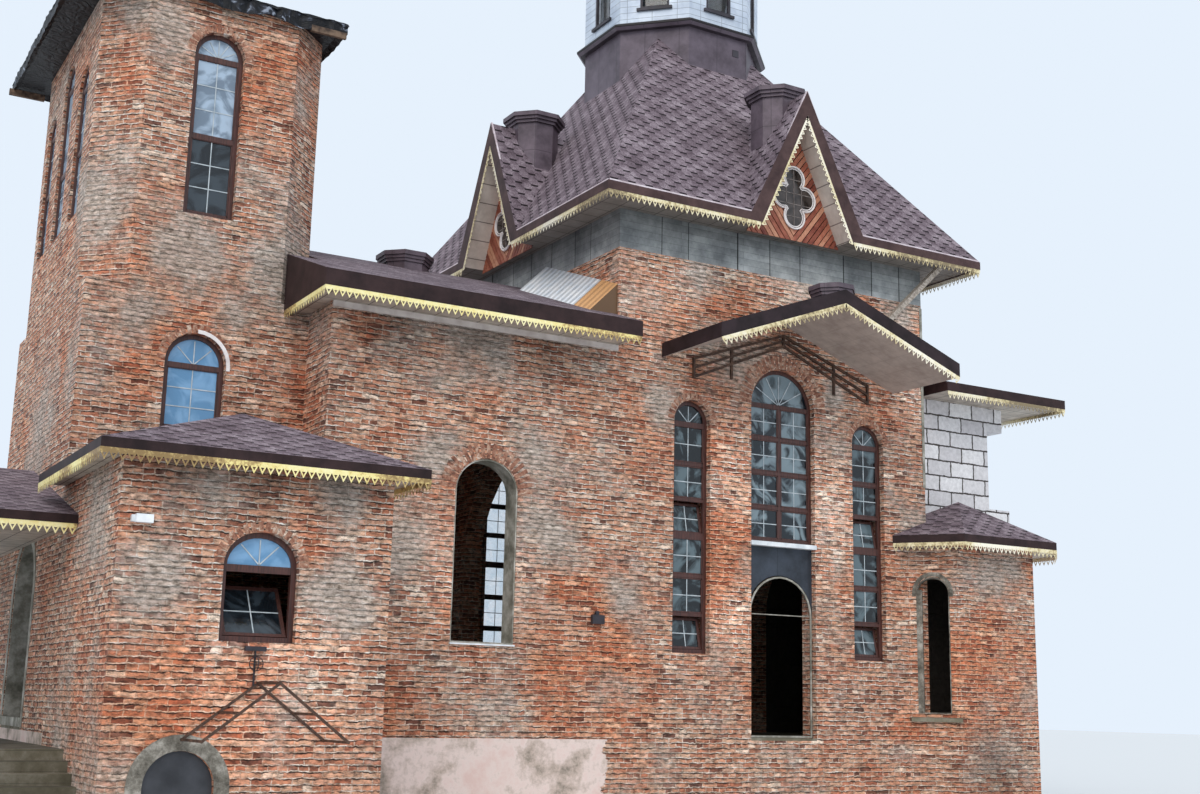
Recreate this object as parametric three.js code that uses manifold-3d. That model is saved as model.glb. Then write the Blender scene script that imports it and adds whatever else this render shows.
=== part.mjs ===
// A brick village church still being built: nave, tall crossing, west tower, annex, altar and sacristy.
// Millimetres, +Z up, the ground at Z = 0. X runs along the south front, Y runs into the building.
// The plan is drawn from the foot of the crossing's south-west corner and then centred on its footprint.
import * as THREE from 'three';
import { mergeVertices } from 'three/addons/utils/BufferGeometryUtils.js';
import Module from 'manifold-3d';

const wasm = await Module();
wasm.setup();

// Levels above the ground
const FLOOR = 1300;
const PLINTH_TOP = FLOOR - 40;
const NAVE_WALL_TOP = FLOOR + 6250;
const SPRINGING = FLOOR + 5610;
const RING_BOTTOM = FLOOR + 7950;
const RING_TOP = FLOOR + 8620;
const ANNEX_WALL_TOP = FLOOR + 3295;
const TOWER_STEP = FLOOR + 6350;
const TOWER_WALL_TOP = FLOOR + 10950;
const SACRISTY_WALL_TOP = FLOOR + 3430;
const LANDING = FLOOR - 200;

// Plan of the walls
const WALL = 380;
const NAVE_WEST = -5000;
const CUBE_WEST = -80;
const CUBE_EAST = 6545;
const DEPTH = 7290;
const AXIS_X = 3272;
const AXIS_Y = DEPTH / 2;
const TOWER_WEST = -8330;
const TOWER_EAST = -4850;
const TOWER_SOUTH = 1030;
const TOWER_NORTH = DEPTH - TOWER_SOUTH;
const TOWER_CHAMFER = 600;
const ANNEX_SOUTH = -2390;
const ANNEX_EAST = -4870;
const ALTAR_SOUTH = 1100;
const ALTAR_NORTH = DEPTH - ALTAR_SOUTH;
const ALTAR_EAST = 9250;
const ALTAR_FOOT_EAST = 9800;
const ALTAR_BEAM_EAST = 9660;
const BLOCK_WALL = 300;
const FIT = 0.3;

// How far a roof surface is lifted where it trims what stands on it, and the gap beside a board in its frame
const LIFT = 0.5;
const SEAT = 1;

// Openings: centre, half width, sill, springing and crown heights above the floor
const DOOR = { at: 3300, half: 685, sill: 0, spring: 2040, crown: 2710 };
const CENTRE_WINDOW = { at: 3300, half: 685, sill: 3260, spring: 5610, crown: 6295 };
const LEFT_WINDOW = { at: 1405, half: 365, sill: 1330, spring: 5155, crown: 5520 };
const RIGHT_WINDOW = { at: 5195, half: 365, sill: 1330, spring: 5155, crown: 5520 };
const NAVE_WINDOW = { at: -2360, half: 530, sill: 1345, spring: 3640, crown: 4140 };
const ANNEX_WINDOW = { at: -6565, half: 480, sill: 1140, spring: 2070, crown: 2490 };
const TOWER_WINDOW = { at: -6650, half: 385, sill: 7520, spring: 10090, crown: 10470 };
const TOWER_LOW_WINDOW = { at: -6670, half: 450, sill: 4250, spring: 5260, crown: 5710 };
const WEST_DOOR = { at: AXIS_Y - 100, half: 800, sill: 0, spring: 1950, crown: 2750 };
const NAVE_ARCH = { at: AXIS_Y, half: 2000, sill: 0, spring: 3000, crown: 5000 };
const ALTAR_ARCH = { at: AXIS_Y, half: 1200, sill: 0, spring: 2400, crown: 3600 };
const TOWER_ARCH = { at: AXIS_Y, half: 900, sill: 0, spring: 2100, crown: 3000 };
const ANNEX_DOOR = { at: -6600, half: 450, sill: 0, spring: 1800, crown: 2250 };
const LANCET_AXIS = AXIS_Y + 150;
const LANCETS = [
  { at: LANCET_AXIS - 1250, half: 330, sill: 7600, spring: 9750, crown: 10080 },
  { at: LANCET_AXIS, half: 380, sill: 7600, spring: 10170, crown: 10550 },
  { at: LANCET_AXIS + 1250, half: 330, sill: 7600, spring: 9750, crown: 10080 },
];
const ARCH_STEPS = 14;

// How far a cutting tool passes beyond the faces that it cuts, and a bar runs into its frame
const PASS = 10;

// Floor slabs
const SLAB = 200;
const TOWER_FLOORS = { tower_floor_lower: FLOOR + 3900, tower_floor_upper: TOWER_STEP };

// Basement opening in the annex's front, its sheet cover and the thin gable frame over it
const BASEMENT_OPENING = { at: -7400, half: 420, sill: -1150, spring: -560, crown: -150 };
const BASEMENT_COVER = { back: 60, thick: 40 };
const BASEMENT_FRAME = { x: -6525, apex: FLOOR + 650, half: 875, drop: 670, purlin: 0.52, out: 845, bar: 30 };

// Tower roof: its overhangs, the heights of its rim and its tent, and half the size of its flat top
const TOWER_EAVE = { out: 170, west: 540, rim: 120, rise: 650, topX: 450, topY: 1200 };

// Eaves and ridges of the annex and nave roofs
const ANNEX_EAVE = { out: 360, top: FLOOR + 3420, ridge: FLOOR + 4275, ridgeShift: 185 };
const NAVE_EAVE = { out: 772, side: 400, top: FLOOR + 6500, ridge: FLOOR + 8100, shell: 270 };

// Sheet-metal drums on the roofs, and the mouldings of their lids
const LID = { plate: 80, steps: 2, step: 55, crown: 50 };
const NAVE_DRUM = { x: -2385, apothem: 400, lid: 480, foot: FLOOR + 7850, top: FLOOR + 8284 };
const GABLET_DRUM = { in: 925, apothem: 430, lid: 553, foot: FLOOR + 10000, top: FLOOR + 11440 };
const CANOPY_CAP = { x: 3400, y: -1233, apothem: 310, lid: 380, foot: FLOOR + 7150, top: FLOOR + 7500 };

// Wedge of corrugated sheet over the roof hatch
const HATCH = { reach: 520, y0: 40, y1: 2580, rise: 520 };

// Main roof: its eave, the pyramid and the four gablets
const EAVE = { out: 785, lip: FLOOR + 8600, soffit: RING_TOP, top: FLOOR + 8743, rim: 40, lap: 20 };
const EAVE_WEST = -EAVE.out;
const EAVE_EAST = 7328;
const EAVE_SOUTH = -EAVE.out;
const EAVE_NORTH = DEPTH + EAVE.out;
const ROOF = { apex: FLOOR + 14890, top: FLOOR + 13250, shell: 430, knee: 1190 };
const GABLET = { half: 1225, apex: FLOOR + 11200, deep: 2600 };
const GABLET_MOUTH = { half: 1010, apex: FLOOR + 10760, foot: FLOOR + 8550, under: 60 };
const GABLET_VOID = { sill: 60, from: 400, to: 1600 };
const GABLET_BOARD = { from: 435, thick: 50 };
const QUATREFOIL = { z: FLOOR + 9350, radius: 215, across: 240, up: 350, sides: 16, pane: 14 };
const EAVE_STRUT = { width: 95, foot: [5806, 0, FLOOR + 7625], head: [6640, -430, EAVE.soffit] };

// Lantern: the dark skirt with its cornice, the white drum with its windows, and the roof over it
const SKIRT = { apothem: 1650, foot: FLOOR + 12250, top: FLOOR + 13450, sheet: 150 };
const CORNICE = { lip: 1815, cove: 60, plate: 40, cap: 120, capIn: 20 };
const DRUM = { apothem: 1665, foot: FLOOR + 13570, top: FLOOR + 15600, sheet: 120, pane: 30 };
const DRUM_WINDOW = { at: 0, half: 290, sill: 13850, spring: 15050, crown: 15340 };
const DRUM_ROOF = { lip: 1815, plate: 90, shoulder: 1600, shoulderUp: 240, tip: 120, tipUp: 620 };

// Canopy over the south windows and the bars left under it
const CANOPY = { half: 2522, out: 1724, apex: FLOOR + 7355, eave: FLOOR + 6418, depth: 243 };
const LATTICE = { half: 1890, low: FLOOR + 5916, lowTop: FLOOR + 6710, gap: 320, topGap: 190 };
const LATTICE_BAR = { width: 40, inner: 1115, tail: 20, hang: 260 };

// Windows: section of the frames and bars, the heights of the rails above the floor, and plain glazing sheets
const SASH = { border: 70, deep: 70, pane: 12, bar: 34, setBack: 110, railIn: 12, mullionIn: 14 };
const SIDE_RAILS = [1960, 2590, 3250, 3850, 4450, 5120];
const CENTRE_RAILS = [3860, 4460, 5060, 5640];
const TOWER_RAILS = [8780, 10060];
const TOWER_LOW_RAILS = [5230];
const GLAZING = { sheet: 20, over: 60, beside: 70 };

// West porch
const PORCH = { west: -10900, south: -50, hip: 1600 };
const PORCH_LEVELS = { bottom: FLOOR + 2670, eave: FLOOR + 2790, ridge: FLOOR + 3830 };
const PIER = { width: 510, in: 250, end: 400 };
const STEPS = { count: 8, tread: 307, top: -440, end: 400 };

// Altar: a wide foot, a narrower middle and a corbelled top course, under its roof
const ALTAR_FOOT_TOP = FLOOR + 4450;
const ALTAR_COURSE = FLOOR + 6020;
const ALTAR_TOP = FLOOR + 6490;
const ALTAR_EAVE = { x0: 7430, x1: 10600, out: 830, top: FLOOR + 6670, ridge: FLOOR + 7550, hip: 1700 };

// Sacristy: the corners of its front, the opening in its south-west side, and its roof
const SACRISTY_PLAN = [[6100, 0], [6680, -600], [8600, -600], [9200, 0], [9200, ALTAR_SOUTH]];
const SACRISTY_OPENING = { at: 0, half: 290, sill: 450, spring: 2560, crown: 2850 };
const SACRISTY_EAVE = { out: 430, side: 360, top: FLOOR + 3570, apex: FLOOR + 4370, at: [7650, 300] };

function paint(color, roughness, metalness = 0) {
  return new THREE.MeshStandardMaterial({ color, roughness, metalness });
}

function brickPaint() {
  return paint(0xa8694f, 0.92);
}

function concretePaint() {
  return paint(0x9a9a92, 0.9);
}

function plasterPaint() {
  return paint(0xc9b8a8, 0.9);
}

function shinglePaint() {
  return paint(0x5a4448, 0.85);
}

function darkSheetPaint() {
  return paint(0x5b4a4e, 0.5, 0.4);
}

function whiteSheetPaint() {
  return paint(0xe4e9f2, 0.45, 0.3);
}

function blockPaint() {
  return paint(0xd5d6d8, 0.9);
}

function framePaint() {
  return paint(0x6b3428, 0.5);
}

function glassPaint() {
  return paint(0x5d7588, 0.1);
}

function darkSteelPaint() {
  return paint(0x3a2a26, 0.6, 0.5);
}

function boardPaint() {
  return paint(0xb4543a, 0.7);
}

function timberPaint() {
  return paint(0xc9bfb2, 0.8);
}

function membranePaint() {
  return paint(0x26262a, 0.8);
}

function galvanisedPaint() {
  return paint(0xb9c2cc, 0.4, 0.7);
}

function toSolid(geometry) {
  const bare = geometry.index ? geometry.toNonIndexed() : geometry.clone();
  bare.deleteAttribute('normal');
  bare.deleteAttribute('uv');
  const merged = mergeVertices(bare, 0.001);
  const vertProperties = new Float32Array(merged.attributes.position.array);
  const triVerts = new Uint32Array(merged.index.array);
  return new wasm.Manifold(new wasm.Mesh({ numProp: 3, vertProperties, triVerts }));
}

function toGeometry(solid) {
  const mesh = solid.getMesh();
  const geometry = new THREE.BufferGeometry();
  const positions = new THREE.BufferAttribute(new Float32Array(mesh.vertProperties), 3);
  geometry.setAttribute('position', positions);
  geometry.setIndex(new THREE.BufferAttribute(new Uint32Array(mesh.triVerts), 1));
  return geometry;
}

function join(...geometries) {
  return toGeometry(geometries.map(toSolid).reduce((sum, next) => sum.add(next)));
}

function cut(geometry, ...tools) {
  return toGeometry(tools.map(toSolid).reduce((rest, tool) => rest.subtract(tool), toSolid(geometry)));
}

function keepInside(geometry, tool) {
  return toGeometry(toSolid(geometry).intersect(toSolid(tool)));
}

// A block between two corners
function block(x0, x1, y0, y1, z0, z1) {
  const geometry = new THREE.BoxGeometry(x1 - x0, y1 - y0, z1 - z0);
  return geometry.translate((x0 + x1) / 2, (y0 + y1) / 2, (z0 + z1) / 2);
}

// A closed outline given as [u, v] pairs
function outline(points) {
  const shape = new THREE.Shape();
  points.forEach(([u, v], i) => (i === 0 ? shape.moveTo(u, v) : shape.lineTo(u, v)));
  shape.closePath();
  return shape;
}

// An opening with a straight sill and jambs and an elliptical head, grown by a margin
function archPoints(opening, margin = 0) {
  const half = opening.half + margin;
  const rise = opening.crown - opening.spring + margin;
  const sill = FLOOR + opening.sill - margin;
  const points = [[opening.at - half, sill], [opening.at + half, sill]];
  for (let i = 0; i <= ARCH_STEPS; i += 1) {
    const angle = (Math.PI * i) / ARCH_STEPS;
    points.push([opening.at + half * Math.cos(angle), FLOOR + opening.spring + rise * Math.sin(angle)]);
  }
  return points;
}

// The elevation of a wall, with doorways that are open at its foot
function elevation(u0, u1, v0, v1, doors = []) {
  const foot = doors.flatMap((door) => {
    const head = archPoints(door).slice(2).reverse();
    return [[door.at - door.half, v0], ...head, [door.at + door.half, v0]];
  });
  return [[u0, v0], ...foot, [u1, v0], [u1, v1], [u0, v1]];
}

function upright(shape, depth) {
  return new THREE.ExtrudeGeometry(shape, { depth, bevelEnabled: false });
}

function slabAlongX(points, y0, thickness) {
  return upright(outline(points), thickness).rotateX(Math.PI / 2).translate(0, y0 + thickness, 0);
}

function slabAlongY(points, x0, thickness) {
  return upright(outline(points), thickness).rotateY(Math.PI / 2).rotateX(Math.PI / 2).translate(x0, 0, 0);
}

// A wall that runs along X: its elevation is drawn in X and Z, its outer face is at y0
function wallAlongX(points, openings, y0, thickness) {
  const holes = openings.map((opening) => slabAlongX(archPoints(opening), y0 - PASS, thickness + 2 * PASS));
  return cut(slabAlongX(points, y0, thickness), ...holes);
}

// A wall that runs along Y: its elevation is drawn in Y and Z, and it starts at x0
function wallAlongY(points, openings, x0, thickness) {
  const holes = openings.map((opening) => slabAlongY(archPoints(opening), x0 - PASS, thickness + 2 * PASS));
  return cut(slabAlongY(points, x0, thickness), ...holes);
}

function rectangle(u0, u1, v0, v1) {
  return [[u0, v0], [u1, v0], [u1, v1], [u0, v1]];
}

// A vertical prism over a plan outline
function prism(points, z0, z1) {
  return upright(outline(points), z1 - z0).translate(0, 0, z0);
}

// A closed solid through rings of equal length, bottom first, each ring a list of [x, y, z]
function loft(rings) {
  const count = rings[0].length;
  const vertices = rings.flat();
  const triangles = [];
  for (let r = 0; r + 1 < rings.length; r += 1) {
    for (let i = 0; i < count; i += 1) {
      const a = r * count + i;
      const b = r * count + ((i + 1) % count);
      triangles.push([a, b, b + count], [a, b + count, a + count]);
    }
  }
  const last = (rings.length - 1) * count;
  for (let i = 1; i + 1 < count; i += 1) {
    triangles.push([0, i + 1, i], [last, last + i, last + i + 1]);
  }
  const positions = triangles.flat().flatMap((i) => vertices[i]);
  const geometry = new THREE.BufferGeometry();
  geometry.setAttribute('position', new THREE.Float32BufferAttribute(positions, 3));
  return dropEmpty(geometry);
}

// Triangles that a ring closing on a point or a ridge leaves without area
function dropEmpty(geometry) {
  const source = geometry.attributes.position;
  const kept = [];
  const triangle = new THREE.Triangle();
  for (let i = 0; i < source.count; i += 3) {
    triangle.setFromAttributeAndIndices(source, i, i + 1, i + 2);
    if (triangle.getArea() > 1e-3) {
      [triangle.a, triangle.b, triangle.c].forEach((p) => kept.push(p.x, p.y, p.z));
    }
  }
  const clean = new THREE.BufferGeometry();
  clean.setAttribute('position', new THREE.Float32BufferAttribute(kept, 3));
  return clean;
}

// Corners of a regular octagon whose flat sides face the building's axes
function octagon(cx, cy, apothem) {
  const corner = apothem / Math.cos(Math.PI / 8);
  return Array.from({ length: 8 }, (_, i) => {
    const angle = ((i + 0.5) * Math.PI) / 4;
    return [cx + corner * Math.cos(angle), cy + corner * Math.sin(angle)];
  });
}

function raise(points, z) {
  return points.map(([x, y]) => [x, y, z]);
}

// A straight square bar between two points
function strut(from, to, width) {
  const a = new THREE.Vector3(...from);
  const b = new THREE.Vector3(...to);
  const along = b.clone().sub(a);
  const length = along.length() + width;
  const turn = new THREE.Quaternion().setFromUnitVectors(new THREE.Vector3(0, 0, 1), along.normalize());
  const middle = a.add(b).multiplyScalar(0.5);
  return new THREE.BoxGeometry(width, width, length).applyQuaternion(turn).translate(...middle.toArray());
}

// A ridge or hip form over a rectangular plan: a flat foot, an upright fascia and slopes to a ridge
function hipRoof(x0, x1, y0, y1, z0, zEave, ridge) {
  const plan = [[x0, y0], [x1, y0], [x1, y1], [x0, y1]];
  return loft([raise(plan, z0), raise(plan, zEave), ridge]);
}

// A gabled form along X: slopes rise to a ridge at the middle of y0 and y1
function gableAlongX(x0, x1, y0, y1, z0, zEave, zRidge) {
  const points = [[y0, z0], [y1, z0], [y1, zEave], [(y0 + y1) / 2, zRidge], [y0, zEave]];
  return upright(outline(points), x1 - x0).rotateY(Math.PI / 2).rotateX(Math.PI / 2).translate(x0, 0, 0);
}

const building = new THREE.Group();

// Every mesh is placed by its position: its own geometry starts at the middle of its foot
function place(parent, name, geometry, material) {
  geometry.deleteAttribute('uv');
  geometry.computeBoundingBox();
  const home = new THREE.Vector3();
  geometry.boundingBox.getCenter(home);
  home.z = geometry.boundingBox.min.z;
  geometry.translate(-home.x, -home.y, -home.z);
  geometry.computeVertexNormals();
  const mesh = new THREE.Mesh(geometry, material);
  mesh.name = name;
  mesh.position.copy(home);
  parent.add(mesh);
}

function section() {
  const group = new THREE.Group();
  building.add(group);
  return group;
}

// Foundations and floors

// The strip between a broken line and the same line shifted to its left by the wall thickness
function stripPlan(line, thickness) {
  const normals = line.slice(1).map(([x, y], i) => {
    const run = Math.hypot(x - line[i][0], y - line[i][1]);
    return [-(y - line[i][1]) / run, (x - line[i][0]) / run];
  });
  const inner = line.map(([x, y], i) => {
    const before = normals[Math.max(i - 1, 0)];
    const after = normals[Math.min(i, normals.length - 1)];
    const scale = thickness / (1 + before[0] * after[0] + before[1] * after[1]);
    return [x + (before[0] + after[0]) * scale, y + (before[1] + after[1]) * scale];
  });
  return [...line, ...inner.reverse()];
}

function plinth() {
  const top = PLINTH_TOP;
  return join(
    block(NAVE_WEST, CUBE_EAST, 0, WALL, 0, top),
    block(NAVE_WEST, CUBE_EAST, DEPTH - WALL, DEPTH, 0, top),
    block(CUBE_EAST - WALL, CUBE_EAST, 0, DEPTH, 0, top),
    block(NAVE_WEST, NAVE_WEST + WALL, 0, TOWER_SOUTH + WALL, 0, top),
    block(NAVE_WEST, NAVE_WEST + WALL, TOWER_NORTH - WALL, DEPTH, 0, top),
    block(TOWER_EAST - WALL, TOWER_EAST, TOWER_SOUTH, TOWER_NORTH, 0, top),
    block(TOWER_WEST, NAVE_WEST + WALL, TOWER_SOUTH, TOWER_SOUTH + WALL, 0, top),
    block(TOWER_WEST, NAVE_WEST + WALL, TOWER_NORTH - WALL, TOWER_NORTH, 0, top),
    block(TOWER_WEST, TOWER_WEST + WALL, TOWER_SOUTH, TOWER_NORTH, 0, top),
    block(CUBE_EAST - WALL, ALTAR_FOOT_EAST, ALTAR_SOUTH, ALTAR_SOUTH + WALL, 0, top),
    block(CUBE_EAST - WALL, ALTAR_FOOT_EAST, ALTAR_NORTH - WALL, ALTAR_NORTH, 0, top),
    block(ALTAR_FOOT_EAST - WALL, ALTAR_FOOT_EAST, ALTAR_SOUTH, ALTAR_NORTH, 0, top),
    prism([...SACRISTY_PLAN, [CUBE_EAST - WALL, ALTAR_SOUTH], [CUBE_EAST - WALL, 0]], 0, top),
  );
}

function groundFloor() {
  const thin = PLINTH_TOP + FIT;
  const tile = (x0, x1, y0, y1) => block(x0 + FIT, x1 - FIT, y0 + FIT, y1 - FIT, FLOOR - SLAB, FLOOR);
  const width = (door) => [door.at - door.half + FIT, door.at + door.half - FIT];
  const inX = (door, y0, y1) => block(...width(door), y0, y1, thin, FLOOR);
  const inY = (door, x0, x1) => block(x0, x1, ...width(door), thin, FLOOR);
  return join(
    tile(NAVE_WEST + WALL, CUBE_EAST - WALL, WALL, DEPTH - WALL),
    tile(TOWER_WEST + WALL, TOWER_EAST - WALL, TOWER_SOUTH + WALL, TOWER_NORTH - WALL),
    tile(TOWER_WEST + WALL, ANNEX_EAST - WALL, ANNEX_SOUTH + WALL, TOWER_SOUTH),
    tile(CUBE_EAST, ALTAR_FOOT_EAST - WALL, ALTAR_SOUTH + WALL, ALTAR_NORTH - WALL),
    inX(DOOR, 0, 2 * WALL),
    inX(ANNEX_DOOR, TOWER_SOUTH - WALL, TOWER_SOUTH + 2 * WALL),
    inY(WEST_DOOR, TOWER_WEST, TOWER_WEST + 2 * WALL),
    inY(TOWER_ARCH, TOWER_EAST - 2 * WALL, NAVE_WEST + 2 * WALL),
    inY(ALTAR_ARCH, CUBE_EAST - 2 * WALL, CUBE_EAST + WALL),
  );
}

const base = section();
place(base, 'plinth', plinth(), plasterPaint());
place(base, 'ground_floor', groundFloor(), concretePaint());

// Nave walls: the front one and its mirror image, each with a short return towards the tower
function naveWall(y0, yReturn0, yReturn1) {
  const run = rectangle(NAVE_WEST, CUBE_WEST - FIT, PLINTH_TOP, NAVE_WALL_TOP);
  const face = wallAlongX(run, [NAVE_WINDOW], y0, WALL);
  return join(face, block(NAVE_WEST, NAVE_WEST + WALL, yReturn0, yReturn1, PLINTH_TOP, NAVE_WALL_TOP));
}

const nave = section();
place(nave, 'nave_front_wall', naveWall(0, WALL, TOWER_SOUTH - FIT), brickPaint());
place(nave, 'nave_back_wall', naveWall(DEPTH - WALL, TOWER_NORTH + FIT, DEPTH - WALL), brickPaint());

// Crossing: front wall split beside and over the tall opening, the other three walls in one
function cubeFrontSide(x0, x1, opening) {
  return wallAlongX(rectangle(x0, x1, PLINTH_TOP, SPRINGING), [opening], 0, WALL);
}

function cubeFrontTop() {
  const head = archPoints(CENTRE_WINDOW).slice(2).reverse();
  const points = [
    [CUBE_WEST, SPRINGING + FIT],
    ...head.map(([u, v]) => [u, v + FIT]),
    [CUBE_EAST, SPRINGING + FIT],
    [CUBE_EAST, RING_BOTTOM],
    [CUBE_WEST, RING_BOTTOM],
  ];
  return wallAlongX(points, [], 0, WALL);
}

function cubeSideWalls() {
  const inner0 = WALL + FIT;
  const westRun = elevation(inner0, DEPTH - WALL, FLOOR + FIT, RING_BOTTOM, [NAVE_ARCH]);
  const eastRun = elevation(inner0, DEPTH - WALL, PLINTH_TOP, RING_BOTTOM, [ALTAR_ARCH]);
  const northRun = rectangle(CUBE_WEST, CUBE_EAST, PLINTH_TOP, RING_BOTTOM);
  return join(
    wallAlongY(westRun, [], CUBE_WEST, WALL),
    wallAlongY(eastRun, [], CUBE_EAST - WALL, WALL),
    wallAlongX(northRun, [LEFT_WINDOW, CENTRE_WINDOW, RIGHT_WINDOW], DEPTH - WALL, WALL),
  );
}

function ringBeam() {
  const outer = block(CUBE_WEST, CUBE_EAST, 0, DEPTH, RING_BOTTOM, RING_TOP);
  const [z0, z1] = [RING_BOTTOM - PASS, RING_TOP + PASS];
  return cut(outer, block(CUBE_WEST + WALL, CUBE_EAST - WALL, WALL, DEPTH - WALL, z0, z1));
}

const cube = section();
const leftOfDoor = cubeFrontSide(CUBE_WEST, DOOR.at - DOOR.half, LEFT_WINDOW);
const rightOfDoor = cubeFrontSide(DOOR.at + DOOR.half, CUBE_EAST, RIGHT_WINDOW);
place(cube, 'cube_front_wall_left', leftOfDoor, brickPaint());
place(cube, 'cube_front_wall_right', rightOfDoor, brickPaint());
place(cube, 'cube_front_wall_top', cubeFrontTop(), brickPaint());
place(cube, 'cube_side_walls', cubeSideWalls(), brickPaint());
place(cube, 'ring_beam', ringBeam(), concretePaint());

// Tower: a square lower stage, a stage with cut corners above, two floors and a temporary boarded roof
function towerWestWall() {
  const run = elevation(TOWER_SOUTH, TOWER_NORTH, PLINTH_TOP, TOWER_STEP, [WEST_DOOR]);
  return wallAlongY(run, [], TOWER_WEST, WALL);
}

function towerLowerWalls() {
  const x0 = TOWER_WEST + WALL + FIT;
  const southRun = elevation(x0, TOWER_EAST, PLINTH_TOP, TOWER_STEP, [ANNEX_DOOR]);
  const northRun = rectangle(x0, TOWER_EAST, PLINTH_TOP, TOWER_STEP);
  const eastRun = elevation(TOWER_SOUTH, TOWER_NORTH, PLINTH_TOP, TOWER_STEP, [TOWER_ARCH]);
  return join(
    wallAlongX(southRun, [TOWER_LOW_WINDOW], TOWER_SOUTH, WALL),
    wallAlongX(northRun, [TOWER_LOW_WINDOW], TOWER_NORTH - WALL, WALL),
    wallAlongY(eastRun, [], TOWER_EAST - WALL, WALL),
  );
}

function cutCornerPlan(x0, x1, y0, y1, chamfer) {
  return [
    [x0 + chamfer, y0], [x1 - chamfer, y0], [x1, y0 + chamfer], [x1, y1 - chamfer],
    [x1 - chamfer, y1], [x0 + chamfer, y1], [x0, y1 - chamfer], [x0, y0 + chamfer],
  ];
}

function towerUpperWalls() {
  const through = WALL + 2 * PASS;
  const innerChamfer = TOWER_CHAMFER - WALL * (2 - Math.SQRT2);
  const outside = cutCornerPlan(TOWER_WEST, TOWER_EAST, TOWER_SOUTH, TOWER_NORTH, TOWER_CHAMFER);
  const innerX = [TOWER_WEST + WALL, TOWER_EAST - WALL];
  const inside = cutCornerPlan(...innerX, TOWER_SOUTH + WALL, TOWER_NORTH - WALL, innerChamfer);
  const shell = prism(outside, TOWER_STEP, TOWER_WALL_TOP);
  const hollow = prism(inside, TOWER_STEP - PASS, TOWER_WALL_TOP + PASS);
  const south = wallAlongX(archPoints(TOWER_WINDOW), [], TOWER_SOUTH - PASS, through);
  const north = wallAlongX(archPoints(TOWER_WINDOW), [], TOWER_NORTH - WALL - PASS, through);
  const west = LANCETS.map((lancet) => wallAlongY(archPoints(lancet), [], TOWER_WEST - PASS, through));
  return cut(shell, hollow, south, north, ...west);
}

function towerFloor(top) {
  const x0 = TOWER_WEST + WALL + FIT;
  const x1 = TOWER_EAST - WALL - FIT;
  return block(x0, x1, TOWER_SOUTH + WALL + FIT, TOWER_NORTH - WALL - FIT, top - SLAB, top);
}

// Temporary boarded roof with a membrane over it: an almost flat tent that hangs over the walls
function towerRoof() {
  const { out, west, rim, rise, topX, topY } = TOWER_EAVE;
  const x0 = TOWER_WEST - west;
  const x1 = TOWER_EAST + out;
  const middle = (TOWER_WEST + TOWER_EAST) / 2;
  const plan = rectangle(x0, x1, TOWER_SOUTH - out, TOWER_NORTH + out);
  const top = rectangle(middle - topX, middle + topX, AXIS_Y - topY, AXIS_Y + topY);
  const z = TOWER_WALL_TOP;
  return loft([raise(plan, z), raise(plan, z + rim), raise(top, z + rim + rise)]);
}

const tower = section();
place(tower, 'tower_west_wall', towerWestWall(), brickPaint());
place(tower, 'tower_lower_walls', towerLowerWalls(), brickPaint());
place(tower, 'tower_upper_walls', towerUpperWalls(), brickPaint());
Object.entries(TOWER_FLOORS).forEach(([name, top]) => {
  place(tower, name, towerFloor(top), concretePaint());
});
place(tower, 'tower_roof', towerRoof(), membranePaint());

// Annex on the tower's south side, under a hipped roof that dies against the tower and the nave
function annexWalls() {
  const frontRun = rectangle(TOWER_WEST, ANNEX_EAST, 0, ANNEX_WALL_TOP);
  return join(
    wallAlongX(frontRun, [ANNEX_WINDOW, BASEMENT_OPENING], ANNEX_SOUTH, WALL),
    block(TOWER_WEST, TOWER_WEST + WALL, ANNEX_SOUTH, TOWER_SOUTH - FIT, 0, ANNEX_WALL_TOP),
    block(ANNEX_EAST - WALL, ANNEX_EAST, ANNEX_SOUTH, -FIT, 0, ANNEX_WALL_TOP),
  );
}

function annexRoof() {
  const { out, top, ridge, ridgeShift } = ANNEX_EAVE;
  const x0 = TOWER_WEST - out;
  const x1 = ANNEX_EAST + out;
  const y0 = ANNEX_SOUTH - out;
  const y1 = TOWER_SOUTH - FIT;
  const cx = (x0 + x1) / 2 + ridgeShift;
  const hipY = y0 + (x1 - x0) / 2;
  const ridgeLine = [[cx, hipY, ridge], [cx, hipY, ridge], [cx, y1, ridge], [cx, y1, ridge]];
  const form = hipRoof(x0, x1, y0, y1, ANNEX_WALL_TOP, top, ridgeLine);
  return cut(form, block(NAVE_WEST - FIT, 0, -FIT, DEPTH, 0, ridge + PASS));
}

const annex = section();
place(annex, 'annex_walls', annexWalls(), brickPaint());
place(annex, 'annex_roof', annexRoof(), shinglePaint());

// Nave roof: two low slopes with boxed eaves, cut round the tower and ended at the crossing
function naveRoofForm(lift) {
  const { out, side, top, ridge } = NAVE_EAVE;
  const x0 = NAVE_WEST - side;
  return gableAlongX(x0, CUBE_WEST - FIT, -out, DEPTH + out, NAVE_WALL_TOP, top + lift, ridge + lift);
}

function naveRoof() {
  const { out, side, top, ridge, shell } = NAVE_EAVE;
  const slope = (ridge - top) / (AXIS_Y + out);
  const edge = top + slope * (out + WALL) - shell;
  const z0 = NAVE_WALL_TOP - PASS;
  const hollow = gableAlongX(NAVE_WEST + WALL, 0, WALL, DEPTH - WALL, z0, edge, ridge - shell);
  const [x0, x1] = [NAVE_WEST - side - PASS, TOWER_EAST + FIT];
  const towerHole = block(x0, x1, TOWER_SOUTH - FIT, TOWER_NORTH + FIT, z0, ridge + PASS);
  return cut(naveRoofForm(0), hollow, towerHole);
}

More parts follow.
